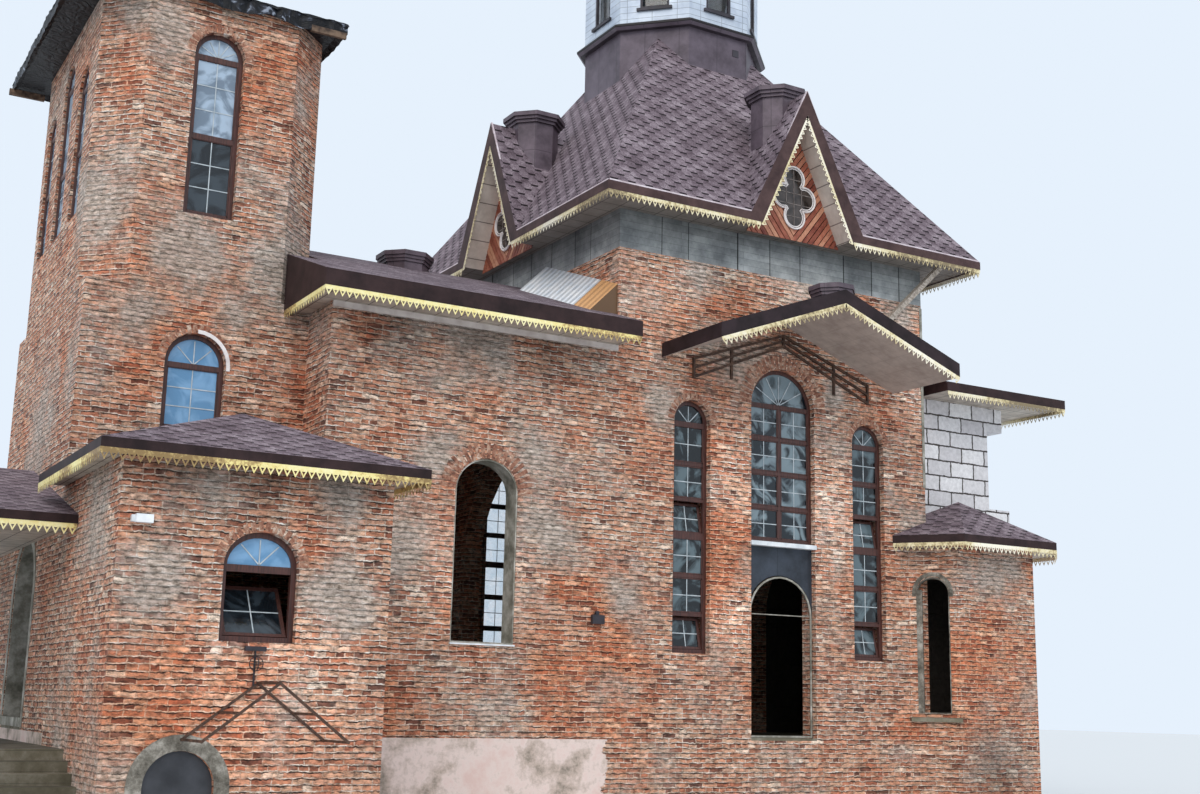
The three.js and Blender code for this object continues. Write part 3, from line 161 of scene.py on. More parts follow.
# patches, each by the place of its middle and its reach
SLURRY = [
    (0.82, 0.0, 5.35, 0.55), (1.5, 0.0, 7.75, 0.6), (3.9, 0.0, 7.85, 0.7), (5.9, 0.0, 7.7, 0.6),
    (-3.9, 0.0, 2.6, 1.1), (-1.5, 0.0, 4.2, 0.9), (-6.1, 1.03, 6.0, 0.6), (-8.2, 1.2, 7.6, 1.2),
    (-8.33, -1.9, -0.9, 1.4), (-7.2, -2.39, 3.1, 0.9), (-5.6, -2.39, 3.0, 0.6), (-3.0, 0.0, 6.1, 1.3),
    (-8.33, -0.9, 2.7, 1.3), (7.6, -0.6, 2.9, 0.9), (-5.2, 0.9, 7.0, 1.3), (0.2, 0.0, 2.2, 0.8),
    (-6.9, 1.03, 6.9, 0.9), (-7.7, 1.03, 5.9, 0.8), (-5.4, 1.03, 9.7, 0.7), (-7.6, 1.03, 10.4, 0.8),
    (-5.5, -2.39, 1.8, 0.7), (-7.8, -2.39, 1.9, 0.7), (-3.2, 0.0, 4.2, 0.7), (-1.1, 0.0, 3.0, 0.8),
    (-8.33, -1.2, -0.9, 1.3), (-8.33, -2.2, -1.0, 1.2), (-8.33, -0.4, -0.6, 1.1), (2.3, 0.0, 6.3, 1.0),
    (4.4, 0.0, 6.0, 0.4), (6.3, 0.0, 3.6, 0.6), (-8.33, 3.6, 4.6, 1.5),
]
ORANGE = [(-8.0, -2.39, -0.4, 2.3), (2.2, 0.0, 3.2, 0.9), (-7.2, 1.03, 6.2, 1.5), (-4.4, 0.0, 0.6, 1.4),
          (7.4, -0.6, 1.3, 1.5), (-0.6, 0.0, 1.0, 1.5), (2.3, 0.0, 6.9, 1.0), (-5.4, 1.03, 9.8, 1.4)]
# lighter patches of painted light, each by the place of its middle and its reach
PAINTED_LIGHT_SPOTS = [(1.0, 0.0, 7.3, 1.7), (3.4, 0.0, 7.5, 1.7), (5.8, 0.0, 7.1, 1.9), (4.25, 0.0, 3.9, 1.5),
          (2.3, 0.0, 4.3, 1.3), (2.2, 0.0, 2.0, 0.9), (-6.4, -2.39, 0.6, 1.5), (-2.6, 0.0, 2.4, 1.2)]
# darker patches of damp, and of painted shade below the eaves
DAMP_AND_SHADE_SPOTS = [(-7.6, -2.39, 3.25, 0.8), (-6.6, -2.39, 3.25, 0.8), (-5.6, -2.39, 3.25, 0.8), (-4.0, 0.0, 6.2, 1.1),
        (-2.6, 0.0, 6.2, 1.0), (-1.3, 0.0, 6.2, 1.1), (3.4, 0.0, 6.9, 0.7), (7.5, -0.6, -0.6, 1.2)]


def at(x, y, z):
    """A place on the building in the part's own frame.

    X runs along the south front, Y into the building and Z up, in metres from the door's threshold at the foot of the
    crossing's south-west corner."""
    return Vector((corner.x + WEST_OF_CORNER + x, corner.y + y, threshold + z))


def patches(tree, place, spots):
    """How deep a point lies in the nearest of some round patches, from 0 outside to 1 in the middle."""
    deepest = None
    for *centre, reach in spots:
        apart = add(tree, "VectorMath", [place, tuple(at(*centre))], operation="DISTANCE")
        inside = add(tree, "MapRange", [apart, 0.0, reach, 1.0, 0.0])
        if deepest:
            inside = add(tree, "Math", [inside, deepest], operation="MAXIMUM")
        deepest = inside
    return deepest


def brickwork(name, warmth, coat=None):
    """Fired clay: matt, each brick its own red or buff, pale mortar proud in most joints, painted shade in the hollows
    of the rest.
    """
    material, tree, place = new_material(name)
    flat = wall_coordinates(tree, place)
    wave = add(tree, "TexNoise", {"Vector": place, "Scale": 4.5, "Detail": 4.0, "Roughness": 0.6})
    centred = add(tree, "VectorMath", [wave.outputs["Color"], (0.5, 0.5, 0.5)], operation="SUBTRACT")
    shift = add(tree, "VectorMath", {0: centred, "Scale": 0.06}, operation="SCALE")
    chips = add(tree, "TexNoise", {"Vector": place, "Scale": 17.0, "Detail": 3.0})
    chipped = add(tree, "VectorMath", {0: chips.outputs["Color"], "Scale": 0.034}, operation="SCALE")
    set_by_hand = add(tree, "VectorMath", [flat, shift], operation="ADD")
    laid = add(tree, "VectorMath", [set_by_hand, chipped], operation="ADD")
    level = add(tree, "SeparateXYZ", [laid]).outputs["Y"]

    def bed_joint(drop, near, far):
        """How far a point lies in the bed joint, or in a line this far below it."""
        rows = add(tree, "Math", [level, 1 / COURSE, drop / COURSE], operation="MULTIPLY_ADD")
        middle = add(tree, "Math", [add(tree, "Math", [rows], operation="FRACT"), 0.5], operation="SUBTRACT")
        apart = add(tree, "Math", [middle], operation="ABSOLUTE")
        return add(tree, "MapRange", [apart, near, far, 0.0, 1.0])

    # the bond: two courses of stretchers, then one of headers
    brick = add(tree, "TexBrick", {
        "Vector": laid, "Color1": 1, "Color2": 0, "Mortar": 0.5, "Scale": 1.0, "Mortar Size": 0.0105,
        "Mortar Smooth": 0.35, "Brick Width": BRICK, "Row Height": COURSE}, offset=0.5, squash=0.5, squash_frequency=3)
    clay = add(tree, "ValToRGB", [brick], [(0.0, "#6A473B"), (0.14, "#A2674F"), (0.34, "#BB8266"),
                                           (0.55, "#CDA58A"), (0.75, "#AF745B"), (0.9, "#C69074"), (1.0, "#E4CDB8")])
    lengthwise = add(tree, "VectorMath", [place, (1.0, 1.0, 2.6)], operation="MULTIPLY")
    grain = add(tree, "TexNoise", {"Vector": lengthwise, "Scale": 9.0, "Detail": 7.0, "Roughness": 0.78})
    shade = add(tree, "MapRange", [grain, 0.37, 0.63, 0.3, 1.75])
    fired = add(tree, "VectorMath", {0: clay, "Scale": shade}, operation="SCALE")
    # pale mortar, squeezed out of most joints
    full = add(tree, "TexNoise", {"Vector": lengthwise, "Scale": 4.0, "Detail": 5.0, "Roughness": 0.75})
    proud = add(tree, "MapRange", [full, 0.4, 0.5, 0.1, 1.0])
    beds = add(tree, "Math", [bed_joint(0.0, 0.37, 0.41), 0.5, 0.5], operation="MULTIPLY_ADD")
    filled = add(tree, "Math", [proud, brick.outputs["Fac"]], operation="MULTIPLY")
    lit = add(tree, "Math", [filled, beds], operation="MULTIPLY")
    mortar = add(tree, "ValToRGB", [grain], [(0.38, "#A08D7D"), (0.5, "#E6D5C4"), (0.6, "#FFF9F0")])
    pointed = add(tree, "Mix", {0: lit, 6: fired, 7: mortar}, data_type="RGBA")
    # painted shade: the shadow of each upper brick's edge, and the shade in joints that were left hollow
    deep = add(tree, "TexNoise", {"Vector": lengthwise, "Scale": 5.5, "Detail": 6.0, "Roughness": 0.8})
    hollow_shade = add(tree, "MapRange", [deep, 0.46, 0.55, 0.12, 1.0])
    dark = add(tree, "Math", [hollow_shade, bed_joint(0.015, 0.37, 0.44)], operation="MULTIPLY")
    jointed = add(tree, "Mix", {0: dark, 6: pointed, 7: linear("#2A1B16")}, data_type="RGBA")
    # cement slurry that has dried over the bricks, thick in some patches
    run = add(tree, "TexNoise", {"Vector": place, "Scale": 0.8, "Detail": 9.0, "Roughness": 0.72})
    spread = add(tree, "Math", [patches(tree, place, SLURRY), 0.27, run], operation="MULTIPLY_ADD")
    smear = add(tree, "MapRange", [spread, 0.51, 0.7, 0.0, 0.8])
    slurry = add(tree, "ValToRGB", [grain],
                 [(0.36, "#6B6054"), (0.46, "#A89C90"), (0.55, "#CBBEB3"), (0.66, "#ECE1D8")])
    smeared = add(tree, "Mix", {0: smear, 6: jointed, 7: slurry}, data_type="RGBA")
    # places where the bricks came from a redder firing, patches of painted light, and darker patches of damp and of
    # painted shade below the eaves
    fresh = add(tree, "TexNoise", {"Vector": place, "Scale": 1.1, "Detail": 4.0})
    hot = add(tree, "Math", [patches(tree, place, ORANGE), 0.36, fresh], operation="MULTIPLY_ADD")
    red = add(tree, "MapRange", [hot, 0.47, 0.72, 0.0, warmth])
    bare = add(tree, "Math", [1.0, smear], operation="SUBTRACT")
    reddened = add(tree, "Math", [red, bare], operation="MULTIPLY")
    warmed = add(tree, "Mix", {0: reddened, 6: smeared, 7: linear("#FFC094")}, data_type="RGBA", blend_type="MULTIPLY")
    # painted light brightens some patches; damp and painted shade darken others
    painted_light = add(tree, "Math", [patches(tree, place, PAINTED_LIGHT_SPOTS), 0.6, 1.0], operation="MULTIPLY_ADD")
    weathered = add(tree, "Math", [patches(tree, place, DAMP_AND_SHADE_SPOTS), -0.5, painted_light], operation="MULTIPLY_ADD")
    colour = add(tree, "VectorMath", {0: warmed, "Scale": weathered}, operation="SCALE")
    face = add(tree, "Math", [grain, 0.7, lit], operation="MULTIPLY_ADD")
    height = add(tree, "Math", [face, dark], operation="SUBTRACT")
    if coat:
        colour, height = coat(tree, place, colour, height)
    return shaded(material, colour, (height, 1.0, 0.02), Roughness=0.93)


def nave_foot_plaster(tree, place, colour, height):
    """Pink and white first coat of plaster on the foot of the nave, cloudy and worn through in places."""
    patch = add(tree, "TexNoise", {"Vector": place, "Scale": 1.5, "Detail": 7.0, "Roughness": 0.7})
    tone = add(tree, "ValToRGB", [patch], [(0.34, "#8D8377"), (0.42, "#C4B2A6"), (0.52, "#E9D6CE"),
                                           (0.64, "#E2C6BD")])
    west = add(tree, "SeparateXYZ", [place]).outputs["X"]
    ragged = add(tree, "Math", [patch, 0.8, west], operation="MULTIPLY_ADD")
    coated = add(tree, "Math", [ragged, at(0.25, 0, 0).x], operation="LESS_THAN")
    return (add(tree, "Mix", {0: coated, 6: colour, 7: tone}, data_type="RGBA"),
            add(tree, "Mix", {0: coated, 2: height, 3: patch}, data_type="FLOAT"))


finish_with(brickwork("fired_clay_brickwork", 0.65), "nave_front_wall", "nave_back_wall", "cube_front_wall_left",
            "cube_front_wall_right", "cube_front_wall_top", "cube_side_walls", "tower_west_wall", "tower_lower_walls",
            "tower_upper_walls", "sacristy_walls", "porch_pier_front", "porch_pier_back", "annex_walls")
finish_with(brickwork("brick_foot_with_lime_plaster", 0.4, nave_foot_plaster), "plinth")

# Brick arches
# Each opening is turned over with a ring of bricks on edge, a whole brick deep over the nave's and the centre window
# and half a brick over the rest, set by hand on a timber former, so that no two joints are quite alike.
RING_WIDE = 0.064
RING_DEEP = 0.05
RING_PROUD = 0.006
RING_JOINT = 0.004
OPENINGS = {
    "left": dict(x=1.405, y=0.0, half=0.365, sill=1.33, spring=5.155, crown=5.52),
    "right": dict(x=5.195, y=0.0, half=0.365, sill=1.33, spring=5.155, crown=5.52),
    "centre": dict(x=3.3, y=0.0, half=0.685, sill=3.26, spring=5.61, crown=6.295),
    "nave": dict(x=-2.36, y=0.0, half=0.53, sill=1.345, spring=3.64, crown=4.14),
    "annex": dict(x=-6.565, y=-2.39, half=0.48, sill=1.14, spring=2.07, crown=2.49),
    "tower_upper": dict(x=-6.65, y=1.03, half=0.385, sill=7.52, spring=10.09, crown=10.47),
    "tower_lower": dict(x=-6.67, y=1.03, half=0.45, sill=4.25, spring=5.26, crown=5.71),
}


def only(*pieces):
    """Selects these pieces alone, the first one active."""
    bpy.ops.object.select_all(action="DESELECT")
    for piece in pieces:
        piece.select_set(True)
    bpy.context.view_layer.objects.active = pieces[0]


def block(size, middle=(0, 0, 0), turn=(0, 0, 0)):
    """A block of this size."""
    bpy.ops.object.select_all(action="DESELECT")
    bpy.ops.mesh.primitive_cube_add(size=1, location=middle, rotation=turn, scale=size)
    return bpy.context.object


def again(piece):
    """A copy with its own mesh."""
    copy = piece.copy()
    copy.data = piece.data.copy()
    bpy.context.collection.objects.link(copy)
    return copy


def joined(name, parts):
    """Several modelled parts made one piece, with its place in its mesh."""
    only(*parts)
    if len(parts) > 1:
        bpy.ops.object.join()
    piece = bpy.context.object
    piece.name = name
    bpy.ops.object.transform_apply(location=True, rotation=True, scale=True)
    return piece


def settle(piece, material, slot, *replaced):
    """A finished piece gets its material, stays with the building and takes the place of CAD nodes."""
    piece.data.materials.clear()
    piece.data.materials.append(material)
    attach(piece, "root")
    if replaced:
        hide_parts(*replaced)


def clouded(name, stops, scale, detail, rough=0.5, stretch=None, relief=(), **values):
    """A plain finish whose colour drifts in clouds of this many to the metre, stretched along a grain if it has one."""
    material, tree, place = new_material(name)
    if stretch:
        place = add(tree, "Mapping", {"Vector": place, "Scale": stretch})
    cloud = add(tree, "TexNoise", {"Vector": place, "Scale": scale, "Detail": detail, "Roughness": rough})
    tone = add(tree, "ValToRGB", [cloud], stops)
    return shaded(material, tone, (cloud, *relief) if relief else None, **values)


def arch_ring(opening, depth):
    """Bricks on edge round the head of an opening, their joints widening outwards."""
    rise = opening["crown"] - opening["spring"]
    half = opening["half"]
    count = round(math.pi * (half + rise) / 2 / COURSE)
    brick = block((RING_WIDE, RING_DEEP, depth))
    bpy.ops.object.transform_apply(scale=True)
    bpy.ops.object.mode_set(mode="EDIT")
    bpy.ops.mesh.select_all(action="SELECT")
    bpy.ops.mesh.bevel(offset=0.004, segments=1)
    bpy.ops.object.mode_set(mode="OBJECT")
    parts = []
    for i in range(count):
        angle = math.pi * (i + 0.5) / count
        lean = math.atan2(math.sin(angle) / rise, math.cos(angle) / half)
        jog = 0.004 * math.sin(7.3 * i + opening["x"])
        middle = depth / 2 + RING_JOINT + jog
        copy = again(brick)
        copy.location = at(opening["x"] + half * math.cos(angle) + middle * math.cos(lean),
                           opening["y"] + RING_DEEP / 2 - RING_PROUD + jog / 4,
                           opening["spring"] + rise * math.sin(angle) + middle * math.sin(lean))
        copy.rotation_euler = (0, math.pi / 2 - lean, 0)
        parts.append(copy)
    bpy.data.objects.remove(brick)
    return parts


# fired clay on its narrow side: matt, blotched from dark brown to buff where mortar has smeared it
edge_clay = clouded("brick_on_edge", [(0.36, "#573A30"), (0.46, "#93624E"), (0.56, "#AF8872"), (0.66, "#D6C0AE")],
                    8.0, 5.0, 0.8, relief=(0.6, 0.006), Roughness=0.92)
for name, opening in OPENINGS.items():
    depth = 0.25 if name in ("nave", "centre") else 0.12
    settle(joined(f"arch_{name}", arch_ring(opening, depth)), edge_clay, "brick")

# Roof slopes, fascias and soffits
# Bitumen shingles cut to hexagons, 333 mm wide with 145 mm showing, nailed in staggered courses over boards.
# The boxed eaves have a dark brown sheet fascia and pale greige soffit panels of 360 mm.
TAB = 1 / 3
SHOWING = 0.145
TAB_FOOT = 0.062
PANEL = 0.36


def roof_cladding(name, soffit_dark, soffit_light, sheet_dark="#211415", sheet_light="#3A2828", shingled=True,
                  level_shade=1.0):
    """Matt shingles where the surface faces up, satin brown sheet where it is upright, painted panels below, darkened
    by painted shade.
    """
    material, tree, place = new_material(name)
    facing = add(tree, "NewGeometry").outputs["True Normal"]
    cross = add(tree, "VectorMath", [(0, 0, 1), facing], operation="CROSS_PRODUCT")
    along = add(tree, "VectorMath", [cross], operation="NORMALIZE")
    slope = add(tree, "VectorMath", [facing, along], operation="CROSS_PRODUCT")
    u = add(tree, "VectorMath", [place, along], operation="DOT_PRODUCT")
    v = add(tree, "VectorMath", [place, slope], operation="DOT_PRODUCT")
    # one course: the tabs of the course above hang into it, narrowing to their flat feet
    rows = add(tree, "Math", [v, 1 / SHOWING], operation="MULTIPLY")
    course = add(tree, "Math", [rows], operation="FLOOR")
    up = add(tree, "Math", [rows], operation="FRACT")
    parity = add(tree, "Math", [course, 2.0], operation="FLOORED_MODULO")
    stagger = add(tree, "Math", [parity, 0.5], operation="MULTIPLY")
    tabs = add(tree, "Math", [u, 1 / TAB, stagger], operation="MULTIPLY_ADD")
    across = add(tree, "Math", [tabs], operation="FRACT")
    centred = add(tree, "Math", [across, 0.5], operation="SUBTRACT")
    off = add(tree, "Math", [add(tree, "Math", [centred], operation="ABSOLUTE"), TAB], operation="MULTIPLY")
    reach = add(tree, "Math", [up, TAB / 2 - TAB_FOOT, TAB_FOOT], operation="MULTIPLY_ADD")
    beyond = add(tree, "Math", [off, reach], operation="SUBTRACT")
    hanging = add(tree, "Math", [beyond, 0.0], operation="LESS_THAN")
    # shadows: a wide one below each foot, and a thin one down each tab's left slant
    from_edge = add(tree, "Math", [beyond, 0.010], operation="SUBTRACT")
    slant = add(tree, "MapRange", [add(tree, "Math", [from_edge], operation="ABSOLUTE"), 0.008, 0.017, 1.0, 0.0])
    near_foot = add(tree, "MapRange", [up, 0.15, 0.85, 1.0, 0.25])
    left = add(tree, "Math", [add(tree, "Math", [across, 0.5], operation="LESS_THAN"), 0.45], operation="MULTIPLY")
    left_slant = add(tree, "Math", [slant, left], operation="MULTIPLY")
    slanted = add(tree, "Math", [left_slant, near_foot], operation="MULTIPLY")
    beside = add(tree, "Math", [TAB / 2, off], operation="SUBTRACT")
    next_foot = add(tree, "Math", [beside, TAB_FOOT + 0.012], operation="LESS_THAN")
    under_foot = add(tree, "MapRange", [up, 0.64, 0.76, 0.0, 1.0])
    foot_shadow = add(tree, "Math", [next_foot, under_foot], operation="MULTIPLY")
    edge = add(tree, "Math", [slanted, foot_shadow], operation="MAXIMUM")
    # stone granules, drawn as coarse as they need to show, on the hanging tabs a little paler
    grains = add(tree, "TexNoise", {"Vector": place, "Scale": 40.0, "Detail": 4.0, "Roughness": 0.7})
    fade = add(tree, "TexNoise", {"Vector": place, "Scale": 3.0, "Detail": 5.0, "Roughness": 0.65})
    granules = add(tree, "Mix", {0: 0.5, 2: grains, 3: fade}, data_type="FLOAT")
    lift = add(tree, "Math", [hanging, 0.05, granules], operation="MULTIPLY_ADD")
    mineral = add(tree, "ValToRGB", [lift], [(0.4, "#4E4148"), (0.5, "#6E6068"), (0.57, "#84767E"),
                                             (0.64, "#A0939A")])
    shingle = add(tree, "Mix", {0: edge, 6: mineral, 7: linear("#1B1217")}, data_type="RGBA")
    # brown coated sheet, and soffit panels with a narrow shadow at each joint
    dust = add(tree, "TexNoise", {"Vector": place, "Scale": 3.0, "Detail": 6.0, "Roughness": 0.65})
    sheet = add(tree, "ValToRGB", [dust], [(0.35, sheet_dark), (0.65, sheet_light)])
    spot = add(tree, "SeparateXYZ", [place])
    pitch = add(tree, "SeparateXYZ", [facing]).outputs["Z"]
    level = add(tree, "Math", [pitch, -0.9], operation="LESS_THAN")
    joints = []
    for way in (spot.outputs["X"], spot.outputs["Y"], v):
        panels = add(tree, "Math", [way, 1 / PANEL], operation="MULTIPLY")
        within = add(tree, "Math", [panels], operation="FRACT")
        joints.append(add(tree, "Math", [within, 0.05], operation="LESS_THAN"))
    either = add(tree, "Math", [joints[0], joints[1]], operation="MAXIMUM")
    flat_seam = add(tree, "Math", [level, either], operation="MULTIPLY")
    steep = add(tree, "Math", [1.0, level], operation="SUBTRACT")
    steep_seam = add(tree, "Math", [steep, joints[2]], operation="MULTIPLY")
    seams = add(tree, "Math", [flat_seam, steep_seam], operation="MAXIMUM")
    seam = add(tree, "Math", [seams, 0.75 if shingled else 0.12], operation="MULTIPLY")
    paint = add(tree, "ValToRGB", [dust], [(0.35, soffit_dark), (0.65, soffit_light)])
    # painted shade: level undersides darkened by level_shade
    painted_soffit_shade = add(tree, "Math", [level, level_shade - 1.0, 1.0], operation="MULTIPLY_ADD")
    dimmed = add(tree, "VectorMath", {0: paint, "Scale": painted_soffit_shade}, operation="SCALE")
    soffit = add(tree, "Mix", {0: seam, 6: dimmed, 7: linear("#463B37")}, data_type="RGBA")
    # which of the three shows
    upward = add(tree, "Math", [pitch, 0.08], operation="GREATER_THAN")
    downward = add(tree, "Math", [pitch, -0.08], operation="LESS_THAN")
    walls = add(tree, "Mix", {0: upward, 6: sheet, 7: shingle if shingled else sheet}, data_type="RGBA")
    colour = add(tree, "Mix", {0: downward, 6: walls, 7: soffit}, data_type="RGBA")
    gloss = add(tree, "MapRange", [upward, 0.0, 1.0, 0.6, 0.9])
    proud = add(tree, "Math", [foot_shadow, -0.8, grains], operation="MULTIPLY_ADD")
    height = add(tree, "Math", [proud, upward], operation="MULTIPLY")
    return shaded(material, colour, (height, 0.7, 0.01), Roughness=gloss, Specular_IOR_Level=0.25)


finish_with(roof_cladding("hexagonal_bitumen_shingles", "#AFA396", "#CFC5B8"), "nave_roof", "annex_roof", "porch_roof",
            "altar_roof", "sacristy_roof")
finish_with(roof_cladding("steep_hexagonal_shingles", "#C8BDB2", "#E6DCD1", "#3C2A2A", "#584240", level_shade=0.4),
            "main_roof")
finish_with(roof_cladding("canopy_sheet_and_boards", "#A3948B", "#BFB1A7", "#1F1517", "#33262A", shingled=False),
            "front_canopy")

# Eaves lace
# A strip of thin sheet, 150 mm deep, is cut to one pattern: a plain band, then a row of teeth with a small cut-out
# in each, every 105 mm. It is painted gold on the lower roofs and cream on the upper ones, and nailed to the fascia.
LACE_PITCH = 0.105
LACE_DROP = 0.15
LACE_BAND = 0.05
TOOTH_RIM = 0.0175
SHEET = 0.003
UPRIGHT = (math.pi / 2, 0, 0)


def lace_motif():
    """One repeat of the lace, hanging below its own line from X = 0 to one pitch."""
    bpy.ops.object.select_all(action="DESELECT")
    bpy.ops.mesh.primitive_plane_add(size=1, location=(LACE_PITCH / 2, 0, -LACE_BAND / 2), rotation=UPRIGHT)
    band = bpy.context.object
    band.scale = (LACE_PITCH, LACE_BAND, 1)
    bpy.ops.object.transform_apply(location=True, rotation=True, scale=True)
    bpy.ops.object.select_all(action="DESELECT")
    bpy.ops.mesh.primitive_circle_add(vertices=3, radius=1, fill_type="NGON", rotation=UPRIGHT)
    tooth = bpy.context.object
    bpy.ops.object.transform_apply(location=True, rotation=True, scale=True)
    points = [(0, 0, -LACE_BAND), (LACE_PITCH, 0, -LACE_BAND), (LACE_PITCH / 2, 0, -LACE_DROP)]
    for vertex, point in zip(tooth.data.vertices, points):
        vertex.co = point
    bpy.ops.object.mode_set(mode="EDIT")
    bpy.ops.mesh.select_all(action="SELECT")
    bpy.ops.mesh.inset(thickness=TOOTH_RIM, depth=0)
    bpy.ops.mesh.delete(type="FACE")
    bpy.ops.object.mode_set(mode="OBJECT")
    motif = joined("lace_motif", [band, tooth])
    thick = motif.modifiers.new("sheet", "SOLIDIFY")
    thick.thickness = SHEET
    thick.offset = 0
    bpy.ops.object.modifier_apply(modifier=thick.name)
    return motif


def lace_paint(name, bare, worn, bright, pale):
    """Oil paint on thin sheet: half gloss, bright on some lengths and weathered through on others."""
    material, tree, place = new_material(name)
    lengths = add(tree, "TexNoise", {"Vector": place, "Scale": 0.7, "Detail": 3.0})
    flecks = add(tree, "TexNoise", {"Vector": place, "Scale": 16.0, "Detail": 4.0, "Roughness": 0.7})
    both = add(tree, "Mix", {0: 0.35, 2: lengths, 3: flecks}, data_type="FLOAT")
    tone = add(tree, "ValToRGB", [both], [(0.4, bare), (0.455, worn), (0.49, bright), (0.6, pale)])
    return shaded(material, tone, Roughness=0.55)


def lace(a, b, hang=(0, 0, -1), depth=1.0):
    """A length of lace between two points, its points turned the way it hangs."""
    span = b - a
    count = max(1, round(span.length / LACE_PITCH))
    copy = again(motif)
    only(copy)
    repeat = copy.modifiers.new("repeat", "ARRAY")
    repeat.count = count
    repeat.use_relative_offset = False
    repeat.use_constant_offset = True
    repeat.constant_offset_displace = (LACE_PITCH, 0, 0)
    bpy.ops.object.modifier_apply(modifier=repeat.name)
    run = span.normalized()
    up = -Vector(hang)
    up = (up - up.dot(run) * run).normalized()
    turn = Matrix((run, up.cross(run), up)).transposed().to_4x4()
    stretch = Matrix.Diagonal((span.length / (count * LACE_PITCH), 1, depth, 1))
    copy.matrix_world = Matrix.Translation(a) @ turn @ stretch
    return copy


def lace_round(name, paint, z, corners):
    """Lace along a line of corners at one height, or at a height given with each."""
    points = [at(*place) if len(place) == 3 else at(*place, z) for place in corners]
    settle(joined(name, [lace(a, b) for a, b in zip(points, points[1:])]), paint, "dark_sheet")


motif = lace_motif()
gold = lace_paint("gold_painted_sheet", "#8F7448", "#C9AE72", "#F5E394", "#FFF6BE")
cream = lace_paint("cream_painted_sheet", "#8A7A5C", "#C7B588", "#EBDDB0", "#FFF8E4")
lace_round("nave_lace_front", gold, 6.252, [(-5.396, 1.02), (-5.396, -0.768), (-0.09, -0.768)])
lace_round("nave_lace_back", gold, 6.252, [(-0.09, 8.058), (-5.396, 8.058), (-5.396, 6.27)])
lace_round("annex_lace", gold, 3.297, [(-8.692, 1.02), (-8.692, -2.752), (-4.508, -2.752), (-4.508, -0.01)])
lace_round("porch_lace", gold, 2.672, [(-8.34, -0.044), (-10.894, -0.044), (-10.894, 7.334), (-8.34, 7.334)])
lace_round("altar_lace", cream, 6.492, [(7.44, 0.272), (10.595, 0.272), (10.595, 7.018), (7.44, 7.018)])
lace_round("sacristy_lace", cream, 3.432, [(5.745, -0.004), (6.503, -1.032), (8.777, -1.032), (9.632, -0.177),
                                           (9.632, 1.09)])
lace_round("canopy_lace", cream, 6.178, [(0.78, -1.728), (3.3, -1.728, 7.114), (5.82, -1.728)])

# Main roof eaves
# The fascia runs round the crossing and folds up over the four gablets. A folded strip of pale sheet finishes the
# lower edge of the slopes, and lace hangs from the fascia and, narrower, along the gablets' verges.
EAVE_LOW = 8.602
EAVE_TOP = 8.743
GABLET_HALF = 1.225
GABLET_APEX = 11.2
MOUTH_HALF = 1.01
MOUTH_FOOT = 8.56
MOUTH_APEX = 10.76
VERGE_LACE = 0.62
LACE_BACK = 0.006
DRIP = 0.03
DRIP_BACK = 0.022
DRIP_LOW = EAVE_TOP + 0.016
DRIP_TOP = GABLET_APEX + 0.012
# the way each side faces, the middle of its eave, and the eave's half length
SIDES = [
    (Vector((0, -1)), Vector((3.2715, -0.785)), 4.0565), (Vector((1, 0)), Vector((7.328, 3.645)), 4.43),
    (Vector((0, 1)), Vector((3.2715, 8.075)), 4.0565), (Vector((-1, 0)), Vector((-0.785, 3.645)), 4.43),
]
DRIP_FOOT = GABLET_HALF - (EAVE_TOP - EAVE_LOW) * GABLET_HALF / (GABLET_APEX - EAVE_LOW)
rim_lace = []
drips = []
for outward, middle, reach in SIDES:
    def spot(along, back, z, outward=outward, middle=middle):
        """A place on this side, by its distance along the eave, back from it, and its height."""
        return at(*(middle + Vector((-outward.y, outward.x)) * along - outward * back), z)

    for hand in (-1, 1):
        ends = sorted((hand * (reach - LACE_BACK), hand * (MOUTH_HALF + 0.01)))
        rim_lace.append(lace(*[spot(end, LACE_BACK, EAVE_LOW) for end in ends]))
        verge = [spot(hand * MOUTH_HALF, LACE_BACK, MOUTH_FOOT), spot(0, LACE_BACK, MOUTH_APEX)]
        across = spot(0, 0, EAVE_LOW) - spot(hand, 0, EAVE_LOW)
        rim_lace.append(lace(*verge[::-hand], hang=across + Vector((0, 0, -0.3)), depth=VERGE_LACE))
        bend = spot(hand * DRIP_FOOT, DRIP_BACK, DRIP_LOW)
        for a, b in ((spot(hand * (reach - DRIP), DRIP_BACK, DRIP_LOW), bend), (bend, spot(0, DRIP_BACK, DRIP_TOP))):
            span = b - a
            drips.append(block((span.length, DRIP, DRIP), (a + b) / 2, span.to_track_quat("X", "Z").to_euler()))
settle(joined("main_roof_lace", rim_lace), cream, "dark_sheet")
# bare aluminium sheet: a dull pinkish grey shine
pale_sheet = clouded("mill_finish_drip_edge", [(0.3, "#C9B5B8"), (0.7, "#F0E4E8")], 6.0, 3.0,
                     Metallic=0.4, Roughness=0.45)
settle(joined("drip_edges", drips), pale_sheet, "dark_sheet")
bpy.data.objects.remove(motif)

# Sheet-metal drums and door panel
# Folded from coated steel, 0.5 mm thick, with a standing seam down each side and a lid of stepped mouldings.
# The drums are brown, the lantern's walls white in short strips, and the panel over the south door grey.
SKIRT_RIM = at(0, 0, 13.44).z


